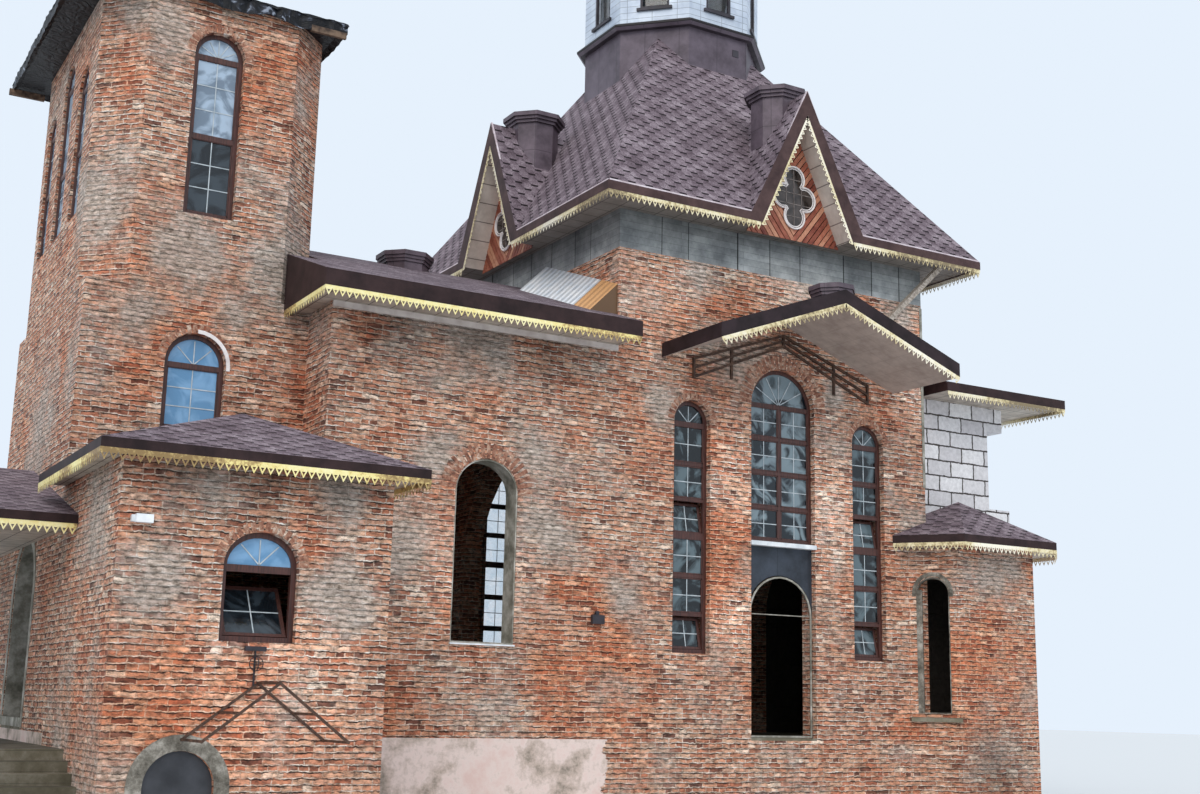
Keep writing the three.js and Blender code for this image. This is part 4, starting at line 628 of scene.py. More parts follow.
def coated_sheet(name, dark, light, roughness, seam=0.5, lap=3.0, rim=None):
    """Polyester-coated steel: satin, nearly even, with a seam line and slow dents that catch the light."""
    material, tree, place = new_material(name)
    film = add(tree, "TexNoise", {"Vector": place, "Scale": 2.0, "Detail": 7.0, "Roughness": 0.65})
    tone = add(tree, "ValToRGB", [film], [(0.35, dark), (0.65, light)])
    rib = add(tree, "TexBrick", {
        "Vector": wall_coordinates(tree, place), "Color1": 1, "Color2": 0.9, "Mortar": 0.42, "Scale": 1.0,
        "Mortar Size": 0.005, "Brick Width": seam, "Row Height": lap}, offset=0.0)
    colour = add(tree, "Mix", {0: 1.0, 6: tone, 7: rib}, data_type="RGBA", blend_type="MULTIPLY")
    if rim:
        height = add(tree, "SeparateXYZ", [place]).outputs["Z"]
        over = add(tree, "Math", [height, rim], operation="GREATER_THAN")
        colour = add(tree, "Mix", {0: over, 6: colour, 7: linear("#1C1618")}, data_type="RGBA")
    dent = add(tree, "TexNoise", {"Vector": place, "Scale": 1.6, "Detail": 1.0})
    return shaded(material, colour, (dent, 0.25, 0.02), Roughness=roughness, Metallic=0.15)


finish_with(coated_sheet("brown_coated_steel", "#4C4048", "#74656F", 0.5), "nave_roof_drum", "gablet_drum_1",
            "gablet_drum_2", "gablet_drum_3", "gablet_drum_4", "drum_roof", "canopy_cap")
finish_with(coated_sheet("brown_steel_with_black_rim", "#4E434C", "#6E626D", 0.5, seam=0.68, rim=SKIRT_RIM),
            "drum_skirt")
finish_with(coated_sheet("white_coated_steel", "#B9C4D4", "#DCE5F0", 0.45, lap=0.13), "drum_walls")
finish_with(coated_sheet("grey_door_panel", "#262C35", "#434B57", 0.6, seam=0.68), "door_panel")

# Steel work
# Welded bars of the gable's lattice, the frame over the basement opening, and the opening's round-headed lid.
# The bars are plain steel with a thin brown coat, and the lid is charcoal sheet.
# thin paint over rust: a low shine, brown with paler rust
steel = clouded("rusting_painted_steel", [(0.35, "#3A2B25"), (0.55, "#5A4337"), (0.7, "#7A5C4A")], 12.0, 6.0, 0.7,
                Metallic=0.3, Roughness=0.65)
finish_with(steel, "gable_lattice", "basement_frame")
# coated sheet gone dull: dark with a grey bloom
finish_with(clouded("charcoal_sheet_lid", [(0.3, "#2C2E33"), (0.7, "#4A4C52")], 3.0, 5.0, Metallic=0.2, Roughness=0.5),
            "basement_cover")

# Altar walls
# Aerated concrete blocks, 600 by 300 mm, in thin grey adhesive that was not struck, so the joints show dark.
# The blocks are pale grey, finely porous and chipped along their edges. Indoors they are darkened with painted shade.
BLOCK = 0.6
BLOCK_COURSE = 0.3
ALTAR_AXIS = at(0, 3.645, 0).y
SACRISTY_EAVE = at(0, 0, 3.43).z
SACRISTY_EAST = at(9.2, 0, 0).x
aerated, tree, place = new_material("aerated_concrete_blocks")
wobble = add(tree, "TexNoise", {"Vector": place, "Scale": 7.0, "Detail": 4.0, "Roughness": 0.7})
centred = add(tree, "VectorMath", [wobble.outputs["Color"], (0.5, 0.5, 0.5)], operation="SUBTRACT")
shift = add(tree, "VectorMath", {0: centred, "Scale": 0.06}, operation="SCALE")
laid = add(tree, "VectorMath", [wall_coordinates(tree, place), shift], operation="ADD")
course = add(tree, "TexBrick", {
    "Vector": laid, "Color1": linear("#F6F5F6"), "Color2": linear("#D2CFD2"), "Mortar": linear("#4A4441"),
    "Scale": 1.0, "Mortar Size": 0.017, "Mortar Smooth": 0.35, "Brick Width": BLOCK, "Row Height": BLOCK_COURSE},
    offset=0.5)
pore = add(tree, "TexNoise", {"Vector": place, "Scale": 12.0, "Detail": 7.0, "Roughness": 0.8})
shade = add(tree, "MapRange", [pore, 0.34, 0.66, 0.8, 1.15])
porous = add(tree, "VectorMath", {0: course, "Scale": shade}, operation="SCALE")
joint = add(tree, "Math", [1.0, course.outputs["Fac"]], operation="SUBTRACT")
# a face is indoors if it looks west, or to the altar's axis, or south into the sacristy below its eave
facing = add(tree, "SeparateXYZ", [add(tree, "NewGeometry").outputs["True Normal"]])
spot = add(tree, "SeparateXYZ", [place])
off_axis = add(tree, "Math", [spot.outputs["Y"], ALTAR_AXIS], operation="SUBTRACT")
inward = add(tree, "Math", [off_axis, facing.outputs["Y"]], operation="MULTIPLY")
west, to_axis, south, low, near = [
    add(tree, "Math", [value, limit], operation="LESS_THAN") for value, limit in (
        (facing.outputs["X"], -0.7), (inward, -0.5), (facing.outputs["Y"], -0.7), (spot.outputs["Z"], SACRISTY_EAVE),
        (spot.outputs["X"], SACRISTY_EAST))]
low_south = add(tree, "Math", [south, low], operation="MULTIPLY")
in_sacristy = add(tree, "Math", [low_south, near], operation="MULTIPLY")
in_altar = add(tree, "Math", [west, to_axis], operation="MAXIMUM")
indoors = add(tree, "Math", [in_altar, in_sacristy], operation="MAXIMUM")
# painted shade: indoor faces dark as unlit rooms, the pores still showing
painted_indoor_shade = add(tree, "ValToRGB", [pore], [(0.35, "#3E3A36"), (0.65, "#57524C")])
colour = add(tree, "Mix", {0: indoors, 6: porous, 7: painted_indoor_shade}, data_type="RGBA")
finish_with(shaded(aerated, colour, (joint, 0.9, 0.015), Roughness=0.93), "altar_walls")

# Windows
# Brown foil-wrapped frames with sealed glazing; flat white bars lie behind the outer pane. The tall openings hold
# one frame each, divided by transoms, and the two side ones have two sashes that are tipped inwards.
BORDER = 0.068
FRAME_DEEP = 0.07
SET_BACK = 0.11
PANE_BACK = 0.03
PANE_THICK = 0.006
BAR = 0.015
BAR_BACK, NORTH_BAR_BACK = 0.022, 0.043
MULLION = 0.03
HALF_TRANSOM = 0.03
SASH_RIM = 0.022
TIPPED_RAIL = 0.045
TIP = 0.2
FAN_EDGE = BORDER * 0.9
NORTH = 7.29


def block_between(low, high):
    """A block between two corners of the building."""
    a, b = at(*low), at(*high)
    return block(b - a, (a + b) / 2)


def arch_leaf(opening, y, inset=0.0):
    """An upright face with a semi-elliptical head: a plane whose two upper corners are rounded until they meet."""
    half = opening["half"] - inset
    sill = opening["sill"] + inset
    crown = opening["crown"] - inset
    squeeze = half / (crown - opening["spring"])
    base = at(opening["x"], y, 0)
    bpy.ops.object.select_all(action="DESELECT")
    bpy.ops.mesh.primitive_plane_add(size=1, rotation=UPRIGHT)
    leaf = bpy.context.object
    leaf.scale = (2 * half, (crown - sill) * squeeze, 1)
    leaf.location = (base.x, base.y, base.z + (crown + sill) / 2 * squeeze)
    bpy.ops.object.transform_apply(location=True, rotation=True, scale=True)
    top = base.z + crown * squeeze
    for vertex in leaf.data.vertices:
        vertex.select = vertex.co.z > top - 0.01
    for edge in leaf.data.edges:
        edge.select = all(leaf.data.vertices[v].select for v in edge.vertices)
    for face in leaf.data.polygons:
        face.select = False
    bpy.ops.object.mode_set(mode="EDIT")
    bpy.ops.mesh.select_mode(type="VERT")
    bpy.ops.mesh.bevel(offset=half * 0.9998, segments=8, affect="VERTICES")
    bpy.ops.mesh.select_all(action="SELECT")
    bpy.ops.mesh.remove_doubles(threshold=0.002)
    bpy.ops.transform.resize(value=(1, 1, 1 / squeeze), center_override=base)
    bpy.ops.object.mode_set(mode="OBJECT")
    return leaf


def thickened(leaf, deep):
    """A leaf given its thickness."""
    only(leaf)
    bpy.ops.object.mode_set(mode="EDIT")
    bpy.ops.mesh.select_all(action="SELECT")
    bpy.ops.mesh.extrude_region_move(TRANSFORM_OT_translate={"value": (0, deep, 0)})
    bpy.ops.mesh.select_all(action="SELECT")
    bpy.ops.mesh.normals_make_consistent(inside=False)
    bpy.ops.object.mode_set(mode="OBJECT")
    return leaf


def frame_ring(opening, y, inset=0.001, border=BORDER, deep=FRAME_DEEP):
    """A frame round an opening: its leaf is inset, the light taken out and the ring pushed to its depth."""
    leaf = arch_leaf(opening, y, inset)
    bpy.ops.object.mode_set(mode="EDIT")
    bpy.ops.mesh.select_mode(type="FACE")
    bpy.ops.mesh.select_all(action="SELECT")
    bpy.ops.mesh.inset(thickness=border, depth=0)
    bpy.ops.mesh.delete(type="FACE")
    bpy.ops.object.mode_set(mode="OBJECT")
    return thickened(leaf, deep)


def sash_rails(x0, x1, z0, z1, y0, y1, wide, short):
    """Two level rails and two uprights, which are this much shorter at each end."""
    return [block_between((x0, y0, z0), (x1, y1, z0 + wide)), block_between((x0, y0, z1 - wide), (x1, y1, z1)),
            block_between((x0, y0, z0 + short), (x0 + wide, y1, z1 - short)),
            block_between((x1 - wide, y0, z0 + short), (x1, y1, z1 - short))]


def cross_bars(x0, x1, z0, z1, y, columns=2, rows=2):
    """Flat white bars of one pane."""
    bars = []
    for i in range(1, columns):
        x = x0 + (x1 - x0) * i / columns
        bars.append(block_between((x - BAR / 2, y, z0), (x + BAR / 2, y + 0.004, z1)))
    for i in range(1, rows):
        z = z0 + (z1 - z0) * i / rows
        bars.append(block_between((x0, y + 0.001, z - BAR / 2), (x1, y + 0.005, z + BAR / 2)))
    return bars


def fan_bars(opening, y, foot, angles):
    """White bars that spread from the middle of the transom to the arch."""
    bars = []
    half = opening["half"] - BORDER
    rise = opening["crown"] - BORDER - foot
    for angle in angles:
        c, s = math.cos(angle), math.sin(angle)
        length = 0.93 / math.hypot(c / half, s / rise)
        middle = at(opening["x"] + c * length / 2, y + 0.002, foot + s * length / 2)
        bars.append(block((length, 0.004, BAR), middle, (0, -angle, 0)))
    return bars


def turned(pieces, angle, about, axis="Z"):
    """Pieces turned together about a line through a place on the building."""
    turn = Matrix.Translation(at(*about)) @ Matrix.Rotation(angle, 4, axis) @ Matrix.Translation(-at(*about))
    for piece in pieces:
        only(piece)
        bpy.ops.object.transform_apply(location=True, rotation=True, scale=True)
        piece.data.transform(turn)


def tipped_sash(x0, x1, z0, z1, y, lean):
    """A sash hinged at its foot and tipped inwards: four rails, a pane and its crossed bars."""
    rail = TIPPED_RAIL
    rails = sash_rails(x0, x1, z0, z1, y, y + 0.05, rail, rail)
    pane = block_between((x0 + rail, y + 0.02, z0 + rail), (x1 - rail, y + 0.03, z1 - rail))
    bars = cross_bars(x0 + rail, x1 - rail, z0 + rail, z1 - rail, y + 0.014)
    turned((*rails, pane, *bars), -lean, ((x0 + x1) / 2, y, z0), "X")
    return rails, pane, bars


def glass_with_painted_reflection(name, dark, light, clear, worn=0.5):
    """Float glass, mirror smooth: its colour is a painted reflection, streaky and a little green, letting less through
    where bright.
    """
    material, tree, place = new_material(name)
    film = add(tree, "TexNoise", {"Vector": place, "Scale": 1.9, "Detail": 4.0, "Distortion": 1.4})
    # painted reflection: clouds from dark to light in the glass's own colour
    tone = add(tree, "ValToRGB", [film], [(0.45, dark), (0.57, light)])
    seen = add(tree, "MapRange", [film, 0.35, 0.65, clear, clear * worn])
    return shaded(material, tone, Roughness=0.03, IOR=1.52, Transmission_Weight=seen)


# printed wood foil: satin, dark brown with a fine upright grain
foil = clouded("brown_foiled_frame", [(0.35, "#37201C"), (0.65, "#5A352E")], 60.0, 4.0, stretch=(1.0, 1.0, 0.08),
               Roughness=0.42)
# painted aluminium bars inside the glazing: smooth, their white greyed by the glass
white_bar = clouded("white_glazing_bar", [(0.3, "#A3AEB4"), (0.7, "#D2DADE")], 9.0, 3.0, Roughness=0.4)
# each glass's two colours are the dark and the light of its painted reflection
glass = glass_with_painted_reflection("float_glass", "#10191E", "#66787F", 0.3)
grey_glass = glass_with_painted_reflection("bright_painted_reflection_glass", "#16222A", "#8698A0", 0.25)
dim_glass = glass_with_painted_reflection("unlit_float_glass", "#1C2228", "#3E4850", 0.3)
pale_glass = glass_with_painted_reflection("sky_painted_reflection_glass", "#7B8C9E", "#B2C6DA", 0.15)
blue_glass = glass_with_painted_reflection("blue_painted_reflection_glass", "#6699C4", "#84B2DA", 0.1)
clear_glass = glass_with_painted_reflection("clear_glass", "#EEF3F6", "#FFFFFF", 1.0, worn=0.96)
finish_with(clear_glass, "north_glazing", "tower_west_glazing", "drum_glazing")


def window(name, opening, rails, fan, columns=1, tipped=(), cells=(2, 2), panes_of=glass, node=None, dim_rows=(),
           north=False, turn=0.0):
    """A whole window: frame ring, transoms at their heights and widths, mullions, sashes, panes and bars."""
    x, y = opening["x"], opening["y"] + SET_BACK
    if north:
        y = NORTH - opening["y"] - SET_BACK - FRAME_DEEP
    pane_y = y + PANE_BACK
    bar_y = y + (NORTH_BAR_BACK if north else BAR_BACK)
    inner = opening["half"] - BORDER
    wood = [frame_ring(opening, y)]
    for z, tall in rails:
        wood.append(block_between((x - inner - 0.01, y + 0.006, z - tall / 2),
                                  (x + inner + 0.01, y + FRAME_DEEP - 0.006, z + tall / 2)))
    top = rails[-1][0]
    for i in range(1, columns):
        post = x - inner + 2 * inner * i / columns
        wood.append(block_between((post - MULLION, y + 0.008, opening["sill"] + BORDER - 0.01),
                                  (post + MULLION, y + FRAME_DEEP - 0.008, top)))
    levels = [opening["sill"] + BORDER] + [z for z, tall in rails]
    panes, dim_panes, bars = [], [], []
    for row, (z0, z1) in enumerate(zip(levels, levels[1:])):
        z0 += HALF_TRANSOM if row else 0.0
        z1 -= HALF_TRANSOM
        for column in range(columns):
            x0 = x - inner + 2 * inner * column / columns + (MULLION if column else 0)
            x1 = x - inner + 2 * inner * (column + 1) / columns - (MULLION if column < columns - 1 else 0)
            if row in tipped:
                sash, pane, crossed = tipped_sash(x0 + 0.004, x1 - 0.004, z0 + 0.004, z1 - 0.004, y + 0.02, TIP)
                panes.append(pane)
            else:
                sash = sash_rails(x0, x1, z0, z1, y + 0.012, y + 0.028, SASH_RIM, 0.0)
                pane = block_between((x0, pane_y, z0), (x1, pane_y + PANE_THICK, z1))
                (dim_panes if row in dim_rows else panes).append(pane)
                crossed = cross_bars(x0 + SASH_RIM, x1 - SASH_RIM, z0 + SASH_RIM, z1 - SASH_RIM, bar_y, *cells)
            wood += sash
            bars += crossed
    head = dict(opening, sill=top + 0.02 - FAN_EDGE, spring=max(opening["spring"], top + HALF_TRANSOM))
    panes.append(thickened(arch_leaf(head, pane_y, FAN_EDGE), PANE_THICK))
    bars += fan_bars(opening, bar_y, top + HALF_TRANSOM, fan)
    made = joined(f"{name}_frame", wood)
    soft = made.modifiers.new("arris", "BEVEL")
    soft.width = 0.003
    soft.segments = 1
    soft.limit_method = "ANGLE"
    bpy.ops.object.modifier_apply(modifier=soft.name)
    glazed = [(made, foil, "frame"), (joined(f"{name}_glass", panes), panes_of, "glass"),
              (joined(f"{name}_bars", bars), white_bar, "frame")]
    if dim_panes:
        glazed.append((joined(f"{name}_low_glass", dim_panes), dim_glass, "glass"))
    turned([piece for piece, material, slot in glazed], turn, (0, 0, 0))
    for piece, material, slot in glazed:
        settle(piece, material, slot, *([node] if node and piece is made else []))


SUN_3 = [math.pi / 4, math.pi / 2, 3 * math.pi / 4]
SUN_5 = [math.pi * i / 6 for i in range(1, 6)]
SIDE_RAILS = [(1.96, 0.06), (2.59, 0.06), (3.25, 0.12), (3.85, 0.06), (4.45, 0.06), (5.12, 0.09)]
CENTRE_RAILS = [(3.86, 0.06), (4.46, 0.06), (5.06, 0.06), (5.64, 0.07)]
TOWER_RAILS = [(8.78, 0.08), (10.06, 0.09)]
TOWER_LOW_RAILS = [(5.23, 0.08)]
for name in ("left", "right"):
    window(f"{name}_window", OPENINGS[name], SIDE_RAILS, SUN_3, tipped=(0, 3), node=f"window_{name}")
window("centre_window", OPENINGS["centre"], CENTRE_RAILS, SUN_5, 2, panes_of=grey_glass, node="window_centre")
window("tower_window", OPENINGS["tower_upper"], TOWER_RAILS, SUN_5, cells=(2, 3), panes_of=pale_glass,
       node="window_tower_upper", dim_rows=(0,))
window("tower_low_window", OPENINGS["tower_lower"], TOWER_LOW_RAILS, SUN_3, cells=(2, 3), panes_of=blue_glass,
       node="window_tower_lower")
for name, rails, fan, columns in (("left", SIDE_RAILS, SUN_3, 1), ("right", SIDE_RAILS, SUN_3, 1),
                                  ("centre", CENTRE_RAILS, SUN_5, 2)):
    window(f"north_{name}_window", OPENINGS[name], rails, fan, columns, panes_of=clear_glass, north=True)
window("north_tower_window", OPENINGS["tower_upper"], TOWER_RAILS, SUN_5, cells=(2, 3), panes_of=pale_glass, north=True)
window("north_tower_low_window", OPENINGS["tower_lower"], TOWER_LOW_RAILS, SUN_3, panes_of=pale_glass, north=True)
# three lancets in the tower's west face, each set out on the south front and turned round
WEST_FACE = 8.33
for name, y, half, spring, top in (("south", 2.545, 0.33, 9.75, 10.08), ("middle", 3.795, 0.38, 10.17, 10.55),
                                   ("north", 5.045, 0.33, 9.75, 10.08)):
    lancet = dict(x=-y, y=-WEST_FACE - 0.07, half=half, sill=7.6, spring=spring, crown=top)
    window(f"lancet_{name}", lancet, [(8.7, 0.06), (spring, 0.06)], SUN_3, cells=(2, 3), panes_of=pale_glass,
           turn=-math.pi / 2)

# Annex window
# A fanlight that is glazed and fixed, over one low sash that is tipped far in, so that the dark room shows over it.
# Frame, bars and panes are those of the other windows.
TRANSOM_LOW, TRANSOM_TOP = 1.99, 2.08
FAR_TIP = 0.6
annex = OPENINGS["annex"]
y = annex["y"] + SET_BACK
inner = annex["half"] - BORDER
wood = [frame_ring(annex, y), block_between((annex["x"] - inner - 0.01, y + 0.006, TRANSOM_LOW),
                                            (annex["x"] + inner + 0.01, y + 0.064, TRANSOM_TOP))]
rails, low_pane, crossed = tipped_sash(annex["x"] - inner + 0.01, annex["x"] + inner - 0.01, 1.22, 1.98, y + 0.02,
                                       FAR_TIP)
settle(joined("annex_window_low_glass", [low_pane]), dim_glass, "glass")
head = dict(annex, sill=2.07 - FAN_EDGE, spring=TRANSOM_TOP + 0.01)
fan_pane = thickened(arch_leaf(head, y + PANE_BACK, FAN_EDGE), PANE_THICK)
settle(joined("annex_window_glass", [fan_pane]), blue_glass, "glass")
settle(joined("annex_window_frame", wood + rails), foil, "frame", "window_annex")
crossed += fan_bars(annex, y + BAR_BACK, TRANSOM_TOP + 0.01, SUN_3)
settle(joined("annex_window_bars", crossed), white_bar, "frame")

# Gablet boards and quatrefoil windows
# Red-stained boards, 95 mm wide, are nailed in a chevron that falls to the middle. On them sits a four-lobed
# window in a double white moulding, with dark glass and crossed white bars.
BOARD = 0.095
BOARD_GAP = 0.018
BOARD_THICK = 0.02
BOARD_UNCUT = 3.4
BOARD_LEAN = math.radians(-52)
BOARD_BACK = 0.435
QUATREFOIL_AXIS = 9.345
LOBES = [Vector((0.24, 0, 0)), Vector((0, 0, 0.35)), Vector((-0.24, 0, 0)), Vector((0, 0, -0.35))]
CUSP = Vector((0.182, 0, 0.217))
# the moulding's beads, each by the radius of its ring, its own radius and its place in front of the boards
OUTER_BEAD = (0.2225, 0.0175, -0.034)
INNER_BEAD = (0.1845, 0.0105, -0.028)
CUSP_BEAD = (0.038, 0.0105, -0.028)
LOBE_PANE = 0.222


def clipped(piece, cuts):
    """Cuts a piece by planes, each given by a point and the way to the side that stays."""
    only(piece)
    bpy.ops.object.transform_apply(location=True, rotation=True, scale=True)
    bpy.ops.object.mode_set(mode="EDIT")
    for point, kept_side in cuts:
        bpy.ops.mesh.select_all(action="SELECT")
        bpy.ops.mesh.bisect(plane_co=point, plane_no=kept_side, use_fill=True, clear_inner=True)
    bpy.ops.object.mode_set(mode="OBJECT")
    return piece


def chevron_boards():
    """Boards for one gable, in X and Z about the middle of its foot, cut to the gable's outline."""
    parts = []
    rise = MOUTH_APEX - MOUTH_FOOT
    for hand in (-1, 1):
        tilt = Matrix.Rotation(hand * BOARD_LEAN, 4, "Y")
        boards = []
        for i in range(-14, 26):
            board = block((BOARD_UNCUT, BOARD_THICK, BOARD - BOARD_GAP))
            board.matrix_world = tilt @ Matrix.Translation((0, 0, i * BOARD)) @ board.matrix_world
            boards.append(board)
        slope = Vector((rise, 0, MOUTH_HALF)).normalized()
        cuts = [((0, 0, 0), (hand, 0, 0)), ((0, 0, 0), (0, 0, 1)),
                ((0, 0, rise - 0.004), (-hand * slope.x, 0, -slope.z))]
        parts.append(clipped(joined("boards", boards), cuts))
    return joined("chevron", parts)


def bead(centre, radius, thick, out):
    """A rounded bead bent to a ring in front of the boards."""
    bpy.ops.object.select_all(action="DESELECT")
    bpy.ops.mesh.primitive_torus_add(major_radius=radius, minor_radius=thick, major_segments=36, minor_segments=6,
                                     rotation=UPRIGHT, location=centre + Vector((0, out, 0)))
    return bpy.context.object


chevron = chevron_boards()
rings, panes = [], []
for number, lobe in enumerate(LOBES):
    outward = lobe.normalized()
    edge = outward * (CUSP.z if number % 2 else CUSP.x)
    rings.append(clipped(bead(lobe, *OUTER_BEAD), [(edge, outward)]))
    rings.append(clipped(bead(lobe, *INNER_BEAD), [(edge, outward)]))
    beside = LOBES[(number + 1) % 4]
    cusp = Vector((math.copysign(CUSP.x, lobe.x + beside.x), 0, math.copysign(CUSP.z, lobe.z + beside.z)))
    cuts = []
    for middle in (lobe, beside):
        across = (middle - cusp).cross(Vector((0, 1, 0)))
        cuts.append((cusp, across if across.dot(-cusp) > 0 else -across))
    rings.append(clipped(bead(cusp, *CUSP_BEAD), cuts))
    bpy.ops.object.select_all(action="DESELECT")
    bpy.ops.mesh.primitive_cylinder_add(vertices=32, radius=LOBE_PANE, depth=0.008, rotation=UPRIGHT,
                                        location=lobe + Vector((0, -0.016, 0)))
    neighbours = [LOBES[(number + step) % 4] for step in (1, 3)]
    panes.append(clipped(bpy.context.object, [((lobe + other) / 2, lobe - other) for other in neighbours]))
panes.append(block((0.37, 0.006, 0.44), (0, -0.0155, 0)))
crossing = [block((wide, 0.006, tall), (x, -0.024, z)) for wide, tall, x, z in (
    (0.012, 1.06, 0.0, 0.0), (0.012, 0.5, 0.17, 0.0), (0.012, 0.5, -0.17, 0.0), (0.82, 0.012, 0.0, 0.08),
    (0.78, 0.012, 0.0, -0.12), (0.3, 0.012, 0.0, 0.33), (0.3, 0.012, 0.0, -0.35))]
moulding = joined("moulding", rings)
lens = joined("lens", panes)
tracery = joined("tracery", crossing)
# stained pine: a soft sheen, each board its own red, with a streaky grain
board_stain, tree, place = new_material("red_stained_pine")
each = add(tree, "NewGeometry").outputs["Random Per Island"]
grain = add(tree, "TexNoise", {"Vector": place, "Scale": 7.0, "Detail": 6.0, "Roughness": 0.7})
mixed = add(tree, "Mix", {0: 0.45, 2: grain, 3: each}, data_type="FLOAT")
tone = add(tree, "ValToRGB", [mixed], [(0.25, "#6E2F22"), (0.45, "#A9614A"), (0.62, "#CB9274"), (0.8, "#984838")])
shaded(board_stain, tone, Roughness=0.62)
# glass before a dark loft: smooth, nearly black, a little dusty
dark_pane = clouded("dark_quatrefoil_glass", [(0.35, "#201A18"), (0.65, "#4E4541")], 5.0, 4.0, Roughness=0.12, IOR=1.52)
# painted bars behind the glass: matt and greyed by dust
dull_bar = clouded("dusty_white_bar", [(0.3, "#5E5552"), (0.7, "#9A8F8A")], 9.0, 3.0, Roughness=0.6)
# oil-painted wood: half gloss, a clean warm white
white_moulding = clouded("white_painted_moulding", [(0.35, "#E2D8D6"), (0.65, "#FBF5F3")], 6.0, 4.0, Roughness=0.45)
for number, (outward, middle, _) in enumerate(SIDES, 1):
    turn = Matrix.Rotation(math.atan2(outward.y, outward.x) + math.pi / 2, 4, "Z")
    back = middle - outward * BOARD_BACK
    for part, material, slot, high, name, *replaced in (
            (chevron, board_stain, "board", MOUTH_FOOT, "gable_boards", f"gablet_board_{number}"),
            (moulding, white_moulding, "frame", QUATREFOIL_AXIS, "quatrefoil"),
            (lens, dark_pane, "glass", QUATREFOIL_AXIS, "quatrefoil_glass"),
            (tracery, dull_bar, "frame", QUATREFOIL_AXIS, "quatrefoil_bars")):
        copy = again(part)
        copy.matrix_world = Matrix.Translation(at(back.x, back.y, high)) @ turn
        settle(joined(f"{name}_{number}", [copy]), material, slot, *replaced)
for part in (chevron, moulding, lens, tracery):
    bpy.data.objects.remove(part)

# Tower roof
# A rough tent of boards under a black membrane that was tied down wet: it sags between the rafters, hangs in
# folds over the south wall and leaves a few rafter ends bare. A pale strut props the main roof's south-east corner.
RIM = 0.12
RIDGE_HALF_X = 0.45
RIDGE_HALF_Y = 1.2
low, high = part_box("tower_roof")
centre = (low + high) / 2
half_x, half_y = (high.x - low.x) / 2, (high.y - low.y) / 2
sheet = block(high - low, centre)
bpy.ops.object.transform_apply(location=True, rotation=True, scale=True)
bpy.ops.object.mode_set(mode="EDIT")
bpy.ops.mesh.select_all(action="SELECT")
bpy.ops.mesh.subdivide(number_cuts=48)
bpy.ops.object.mode_set(mode="OBJECT")
for vertex in sheet.data.vertices:
    p = vertex.co
    t = (p.z - low.z) / (high.z - low.z)
    from_x, from_y = abs(p.x - centre.x), abs(p.y - centre.y)
    if t > 0.999:
        # the tent's slopes, sagging between the rafters and creased
        out = max((from_x - RIDGE_HALF_X) / (half_x - RIDGE_HALF_X),
                  (from_y - RIDGE_HALF_Y) / (half_y - RIDGE_HALF_Y), 0)
        p.z = high.z - out * (high.z - low.z - RIM)
        p.z -= 0.05 * abs(math.sin(5.2 * p.x)) * (1 - (1 - min(out * 3, 1)) ** 2)
        p.z += 0.016 * math.sin(17 * p.x + 9 * p.y) * math.sin(11 * p.y - 6 * p.x)
    else:
        # the hanging rim, uneven along its foot and folded
        at_edge = from_x > half_x - 0.01 or from_y > half_y - 0.01
        p.z = low.z + t * RIM
        if at_edge:
            p.z -= (1 - t) * (0.05 + 0.12 * abs(math.sin(2.3 * p.x + 0.8) * math.sin(1.3 * p.y + p.x)))
        fold = 0.03 * (math.sin(23 * p.x + 5 * p.y) + math.sin(31 * p.y - 7 * p.x))
        p.x += fold * 0.3 * (1 if p.x < centre.x else -1)
        p.y += abs(fold) * 0.6 * (1 if p.y < centre.y else -1)
# bitumen membrane: black, half gloss, with grey light along its creases; dark boards below
membrane, tree, place = new_material("black_roofing_membrane")
crease = add(tree, "TexNoise", {"Vector": place, "Scale": 4.0, "Detail": 7.0, "Distortion": 2.0})
tone = add(tree, "ValToRGB", [crease], [(0.3, "#050609"), (0.55, "#0E1016"), (0.61, "#2B2F39"), (0.66, "#9098A6")])
facing = add(tree, "SeparateXYZ", [add(tree, "NewGeometry").outputs["True Normal"]])
under = add(tree, "Math", [facing.outputs["Z"], -0.4], operation="LESS_THAN")
colour = add(tree, "Mix", {0: under, 6: tone, 7: linear("#1D1C1F")}, data_type="RGBA")
shaded(membrane, colour, (crease, 0.9, 0.06), Roughness=0.5, Specular_IOR_Level=0.3)
settle(joined("tower_membrane", [sheet]), membrane, "membrane", "tower_roof")
# new sawn pine: matt, pale grey-brown, streaked along its length
finish_with(clouded("pale_sawn_pine", [(0.35, "#9C8E80"), (0.65, "#D8CCBE")], 14.0, 5.0, stretch=(1.0, 6.0, 1.0),
                    Roughness=0.75), "eave_strut")
# sawn wood left in the rain: matt, grey-brown
weathered = clouded("weathered_rafter_ends", [(0.35, "#3E2F27"), (0.65, "#7A6452")], 10.0, 5.0, Roughness=0.85)
rafters = [block_between((-8.93, 6.2, 10.79), (-8.34, 6.26, 10.9)),
           block_between((-5.3, 0.86, 10.8), (-4.72, 0.92, 10.9))]
settle(joined("rafter_ends", rafters), weathered, "timber")

# Roof hatch
# A lean-to of galvanised corrugated sheet against the crossing, ribs running down the slope; its south end is
# closed with boards that still have their ochre stain, and its upright end face is dark with painted shade.
HATCH_BOARDS = at(0, 0.587, 0).y
